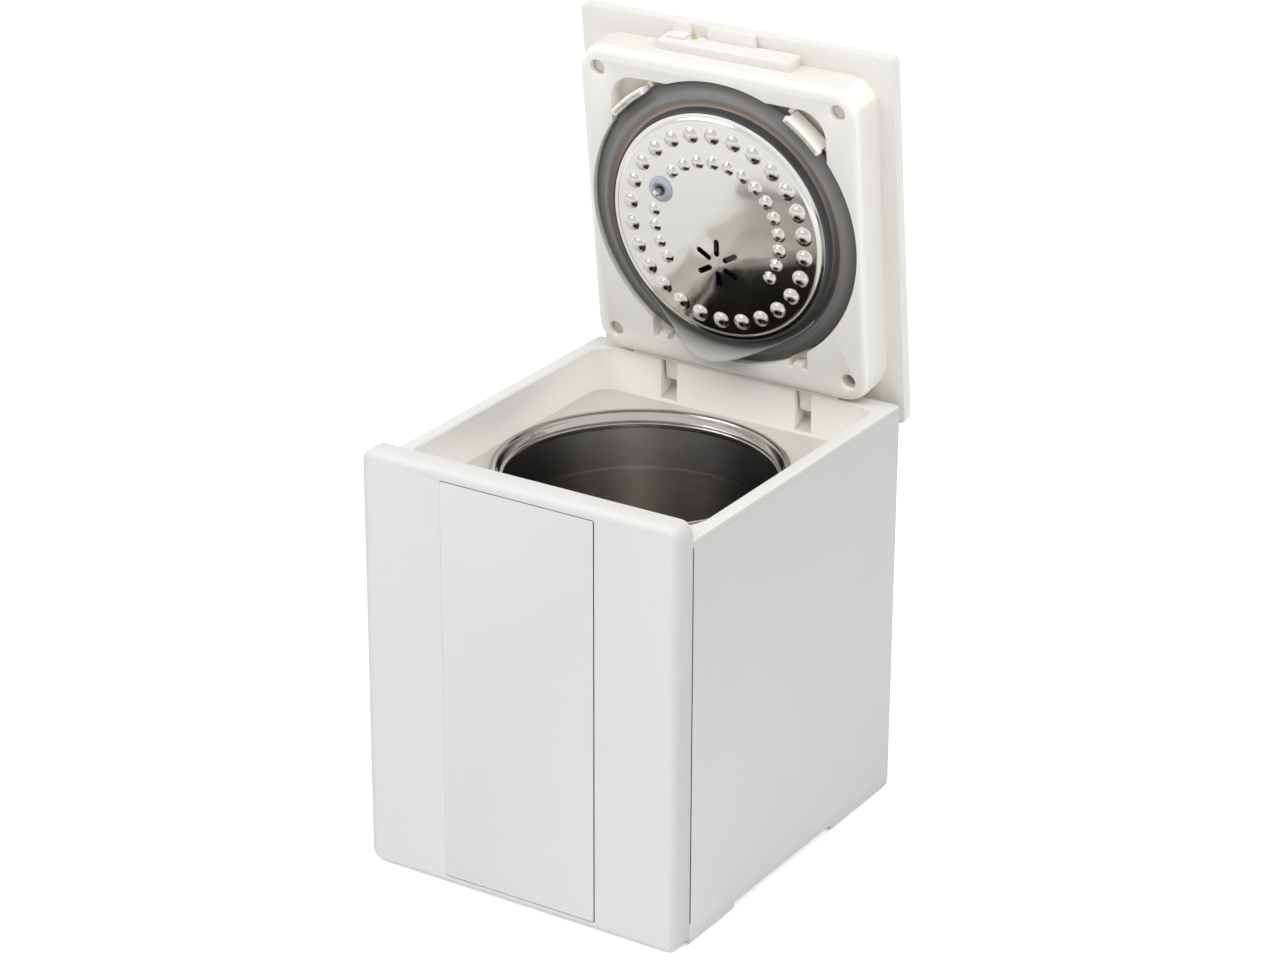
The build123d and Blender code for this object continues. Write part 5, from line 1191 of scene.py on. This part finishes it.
    def flap(self) -> None:
        """Sweep the drip flap round the hinge side and flare it."""
        base, depth = self.flap_base, self.flap_depth
        rows = [base + (depth - base) * i / self.flap_rows for i in range(self.flap_rows + 1)]
        inner, outer = self.flap_faces
        outline = [(inner, z, 0) for z in rows] + [(outer, z, 0) for z in reversed(rows)]
        outline.append((inner, base, 0))
        flap = swept("drip_flap", outline, math.radians(self.flap_half), self.flap_steps)
        grade(flap, self.flap_painted_light)
        for vertex in flap.data.vertices:
            spot = vertex.co / MM
            reach, fall = self.flap_reach(spot), self.flap_fall(spot)
            grow = 1 + self.flap_flare * reach * fall**self.flap_curl / self.flap_radius
            drop = (depth - base) * fall * (self.flap_ends + (1 - self.flap_ends) * reach)
            vertex.co = Vector((spot.x * grow, spot.y * grow, base + drop)) * MM
        settle(flap, LID_PLACE)
        hand_over(flap, FLAP, Body.INNER_LID, "inner_lid_gasket", smooth=60.0)
        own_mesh(flap)

    def grommet(self) -> None:
        """Turn the grommet that seals the probe."""
        face = self.face_depth
        outline = [
            (2.2, face + 2.2, 0.3), (2.2, face - 1.0, 0.4), (3.4, face - 1.0, 0.4),
            (4.2, face - 1.6, 0.4), (5.6, face - 1.6, 0.8), (7.3, face - 0.6, 0.5), (7.3, face, 0),
            (3.6, face, 0), (3.6, face + 0.8, 0), (5.4, face + 0.8, 0.3), (5.4, face + 2.2, 0.5),
            (2.2, face + 2.2, 0.3),
        ]
        grommet = turned("probe_grommet", outline, 64, 4)
        throat = self.grommet_throat
        paint(grommet, (GROMMET, RUBBER), lambda f: int(math.hypot(*f.center.xy) / MM < throat))
        self.at_probe(grommet)
        hand_over(grommet, GROMMET, Body.INNER_LID, "probe_grommet", smooth=50.0)

    def probe(self) -> None:
        """Turn the probe pin with its domed tip and its collar in the lid."""
        outline = [
            (0, -32.0, 0), (1.7, -32.0, 0.9), (1.7, -11.0, 0.3), (4.0, -11.0, 0.3), (4.0, -9.0, 0),
            (0, -9.0, 0),
        ]
        pin = turned("probe_pin", outline, 32, 5)
        self.at_probe(pin)
        hand_over(pin, PIN, Body.LID, "lid_probe", smooth=50.0)

    def at_probe(self, piece: Piece) -> None:
        """Move a piece turned about the Z axis to the probe's place in the open lid.

        Args:
            piece: The grommet or the pin.
        """
        spot = Vector((*self.probe_spot, 0.0))
        spot.z = -self.bowed(spot)
        settle(piece, LID_PLACE @ Matrix.Translation(spot * MM))


@dataclass
class LidMoulding:
    """The lid's mouldings: cover, inner plate, deep frame, latch parts and catches."""

    ease: float = 0.35
    plate_ease: float = 0.15
    plate_grow: float = 1.0055
    plate_middle: float = 2.75
    frame_half: Point = (83.0, 88.0)
    frame_face: float = -19.2
    catch_turn: float = 40.4
    catch_ring: float = 80.0
    catch_head: Corner = (26.0, 3.9, 2.6)
    catch_plate: Corner = (24.0, 3.2, 11.6)
    catch_depth: float = -23.9
    lip: Corner = (128.0, 1.45, 16.0)
    lip_middle: Corner = (0.0, 90.225, -9.0)
    tab_tip: float = -102.0
    tab_trim: float = 0.3
    tab: Corner = (11.0, 1.4, 8.4)
    tab_middle: Corner = (-30.5, -96.1, -3.4)
    small_ease: float = 0.4
    catch_ease: float = 0.9
    catch_steps: int = 24
    face_normal: float = -0.5

    def build(self) -> None:
        """Soften the moulded pieces, add the small ones and dress them."""
        pieces = (
            ("lid_cover", Body.LID, self.plate_ease, None),
            ("lid_base", Body.LID, self.plate_ease, self.flush),
            ("latch_housing", Body.LID, self.ease, self.trim_tab),
            ("latch_hook", Body.HOOK, self.ease, None),
            ("release_button", Body.BUTTON, self.ease, None),
            ("steam_cap", Body.CAP, self.ease, None),
        )
        for node, body, ease, fit in pieces:
            piece = softened(node, f"{node}_moulding", ease, fit)
            hand_over(piece, LID_PAINTED_SHADE, body, node)
        self.frame()
        self.catch("catch_left", Body.LEFT_CATCH, -1)
        self.catch("catch_right", Body.RIGHT_CATCH, 1)
        blocks = (("frame_lip", self.lip, self.lip_middle), ("latch_tab", self.tab, self.tab_middle))
        for name, size, middle in blocks:
            piece = block(name, size, middle)
            round_edges(piece, self.small_ease, segments=3)
            settle(piece, LID_PLACE)
            hand_over(piece, LID_PAINTED_SHADE, Body.LID)

    def flush(self, base: Piece) -> None:
        """Widen the inner plate until its edge meets the cover's.

        Args:
            base: The plate in edit mode.
        """
        bpy.ops.mesh.select_all(action="SELECT")
        bpy.ops.transform.resize(
            value=(self.plate_grow, self.plate_grow, 1),
            center_override=LID_PLACE @ Vector((0, self.plate_middle * MM, 0)),
            orient_matrix=LID_PLACE.to_3x3(),
        )

    def trim_tab(self, housing: Piece) -> None:
        """Draw the small tab's tip back, so that it clears the panel."""
        closed, move = LID_PLACE.inverted(), LID_PLACE.col[1].xyz * self.tab_trim * MM
        shift(housing, lambda co: (closed @ (co * MM)).y / MM < self.tab_tip + NEAR, move)

    def frame(self) -> None:
        """Soften the deep frame, paint light in its pockets and screw wells, and paint shade on the faces
        that turn away from its front.
        """
        piece = softened("lid_frame", "lid_frame_moulding", self.ease)
        closed = LID_PLACE.inverted()
        turn = closed.to_3x3()
        half_x, half_y = self.frame_half

        def part(face: Face) -> int:
            """Choose the finish of one face.

            Args:
                face: A face of the piece.

            Returns:
                The index of its finish.
            """
            spot = (closed @ face.center) / MM
            # painted light in the pockets, painted shade on faces that turn from the front
            if abs(spot.x) < half_x and abs(spot.y) < half_y and spot.z > self.frame_face:
                return 1
            return 2 if (turn @ face.normal).z > self.face_normal else 0

        paint(piece, (IVORY, POCKET_PAINTED_LIGHT, LID_PAINTED_SHADE), part)
        hand_over(piece, IVORY, Body.LID, "lid_frame")

    def catch(self, node: str, body: Body, side: int) -> None:
        """Sweep one catch: a rounded head on a plate that follows the gasket's edge.

        Args:
            node: The frame's catch that it stands for.
            body: The body that it rides on.
            side: -1 for the left catch and 1 for the right one.
        """
        parts = []
        low = self.catch_depth
        for length, width, height in (self.catch_head, self.catch_plate):
            inner, outer = self.catch_ring, self.catch_ring + width
            top = low + height
            outline = [(inner, low, 0), (outer, low, 0), (outer, top, 0), (inner, top, 0), (inner, low, 0)]
            half = length / 2 / (inner + width / 2)
            part = swept(f"{node}_moulding", outline, half, self.catch_steps)
            round_edges(part, self.catch_ease, angle=50.0, segments=4)
            parts.append(part)
        pick(parts[0])
        parts[1].select_set(True)
        bpy.ops.object.join()
        turn = math.pi + side * math.radians(self.catch_turn)
        settle(parts[0], LID_PLACE @ Matrix.Rotation(turn, 4, "Z"))
        hand_over(parts[0], IVORY, body, node)


@dataclass
class InnerWorks:
    """The frame's own pieces that keep their shape and only get a finish."""

    def build(self) -> None:
        """Dress each remaining piece of the frame."""
        groups = (
            (RUBBER, ("rubber_feet", "steam_cap_seal")),
            (SCREW, ("base_screws", "panel_screws", "lid_screws", "hinge_pins", "catch_pins")),
            (SCREW, ("lid_spring", "latch_springs", "latch_strike", "sensor_spring", "sensor_stem")),
            (SHEET, ("pot_well", "heater_plate", "lid_heater_plate", "sensor_cap", "heater_posts")),
            (SHEET, ("side_heater_band",)),
            (ELEMENT, ("heater_element", "thermal_fuse")),
            (BOARD, ("main_board", "display_board")),
            (PART, ("board_parts", "buzzer", "display_module", "power_inlet", "sensor_guide")),
            (BRASS, ("latch_contact", "inlet_prongs")),
            (FELT, ("lid_insulation",)),
            (DUCT, ("steam_duct",)),
        )
        for finish, nodes in groups:
            for node in nodes:
                slots = frame["nodes"][node].data.materials
                slots.clear()
                slots.append(finish.material())
                LOG.info("%s: %s", node, finish.name)


@dataclass(frozen=True)
class Lamp:
    """A square soft lamp: its place and width in metres, and its power in watts."""

    name: str
    place: Corner
    size: float
    power: float
    mirrored: bool = False

    def hang(self, aim: Corner) -> None:
        """Hang the lamp; polished metal shows it only if it is mirrored.

        Args:
            aim: The point that it faces, in metres.
        """
        clear()
        bpy.ops.object.light_add(type="AREA", location=self.place)
        lamp = bpy.context.object
        lamp.name = self.name
        lamp.data.shape = "SQUARE"
        lamp.data.size = self.size
        lamp.data.energy = self.power
        lamp.visible_glossy = self.mirrored
        look = Vector(aim) - Vector(self.place)
        lamp.rotation_euler = look.to_track_quat("-Z", "Y").to_euler()


@dataclass
class Studio:
    """White floor and surround, soft lamps and the camera at the photograph's angle.

    Lengths are metres, but the floor's blotches, the lens and the sensor are millimetres.
    """

    floor_size: float = 14.0
    floor_cuts: int = 3
    floor_blotch: float = 400.0
    floor_shades: tuple[Colour, Colour] = ((241, 241, 241), (244, 244, 244))
    floor_gloss: float = 0.9
    floor_glow: Corner = (0.02, 0.4, 0.45)
    floor_fade: Point = (0.5, 1.4)
    sky: float = 0.58
    ceiling: float = 0.3
    dusk: Point = (0.45, 0.8)
    lamps: tuple[Lamp, ...] = (
        Lamp("key_lamp", (-1.3, -1.5, 1.9), 1.6, 17.0, True),
        Lamp("fill_lamp", (1.5, -0.5, 1.9), 1.4, 18.0),
        Lamp("top_lamp", (0.1, -0.7, 2.6), 2.2, 15.5),
    )
    aim: Corner = (0.0, 0.0, 0.2)
    eye: Corner = (0.97425, -1.54118, 0.98111)
    azimuth: float = 32.3554
    elevation: float = 23.2399
    roll: float = 0.212
    lens: float = 107.168
    sensor: float = 36.0

    def build(self) -> None:
        """Set up the surround, floor, lamps and camera."""
        bpy.context.scene.view_settings.view_transform = "Standard"
        self.surround()
        self.floor()
        for lamp in self.lamps:
            lamp.hang(self.aim)
        self.camera()

    def surround(self) -> None:
        """Light softly from all round, and show plain white behind the object."""
        world = bpy.data.worlds.new("studio")
        bpy.context.scene.world = world
        sheet = NodeSheet(world)
        path = sheet.add("ShaderNodeLightPath").outputs
        height = sheet.height("Generated")
        dusk = sheet.ranged(height, self.dusk, (1.0, self.ceiling), interpolation_type="SMOOTHSTEP")
        shown = sheet.math("MAXIMUM", dusk, path["Is Camera Ray"])
        direct = sheet.math("MAXIMUM", path["Is Camera Ray"], path["Is Glossy Ray"])
        seen = sheet.math("MAXIMUM", direct, path["Is Transmission Ray"])
        strength = sheet.ranged(seen, UNIT, (self.sky, shown))
        light = sheet.add("ShaderNodeBackground", {"Color": (1, 1, 1, 1), "Strength": strength})
        sheet.add("ShaderNodeOutputWorld", {"Surface": light.outputs[0]})

    def floor(self) -> None:
        """Lay a pale floor that looks white and still takes the object's shadow."""
        clear()
        bpy.ops.mesh.primitive_plane_add(size=self.floor_size)
        floor = named("floor")
        edit(floor)
        bpy.ops.mesh.subdivide(number_cuts=self.floor_cuts)
        clear()
        sheet = NodeSheet(bpy.data.materials.new("pale_floor"))
        path = sheet.add("ShaderNodeLightPath").outputs
        place = sheet.add("ShaderNodeTexCoord").outputs["Object"]
        away = sheet.add("ShaderNodeVectorMath", {"Vector": place}, operation="LENGTH").outputs["Value"]
        near, far, camera = self.floor_glow
        mirrored = sheet.ranged(away, self.floor_fade, (near, far))
        shine = sheet.ranged(path["Is Glossy Ray"], UNIT, (0.0, mirrored))
        values = {
            "Base Color": sheet.blend(sheet.noise(self.floor_blotch, 2.0), *self.floor_shades),
            "Roughness": self.floor_gloss,
            "Specular IOR Level": 0.0,
            "Emission Color": (1, 1, 1, 1),
            "Emission Strength": sheet.ranged(path["Is Camera Ray"], UNIT, (shine, camera)),
        }
        floor.data.materials.append(sheet.finish(sheet.add("ShaderNodeBsdfPrincipled", values)))

    def camera(self) -> None:
        """Set the camera at the photograph's place, turn and lens."""
        clear()
        bpy.ops.object.camera_add(location=self.eye)
        camera = bpy.context.object
        around, down = math.radians(self.azimuth), math.radians(self.elevation)
        ahead = math.cos(down)
        look = Vector((-math.sin(around) * ahead, math.cos(around) * ahead, -math.sin(down)))
        turn = look.to_track_quat("-Z", "Y").to_matrix() @ Matrix.Rotation(math.radians(self.roll), 3, "Z")
        camera.rotation_euler = turn.to_euler()
        camera.data.lens = self.lens
        camera.data.sensor_width = self.sensor
        bpy.context.scene.camera = camera


def main() -> None:
    """Build and dress every sub-assembly."""
    logging.basicConfig(level=logging.INFO, format="%(name)s: %(message)s")
    for assembly in (MouldedCase(), CookingPot(), InnerLid(), LidMoulding(), InnerWorks(), Studio()):
        assembly.build()
    clear()


if __name__ == "__main__":
    main()
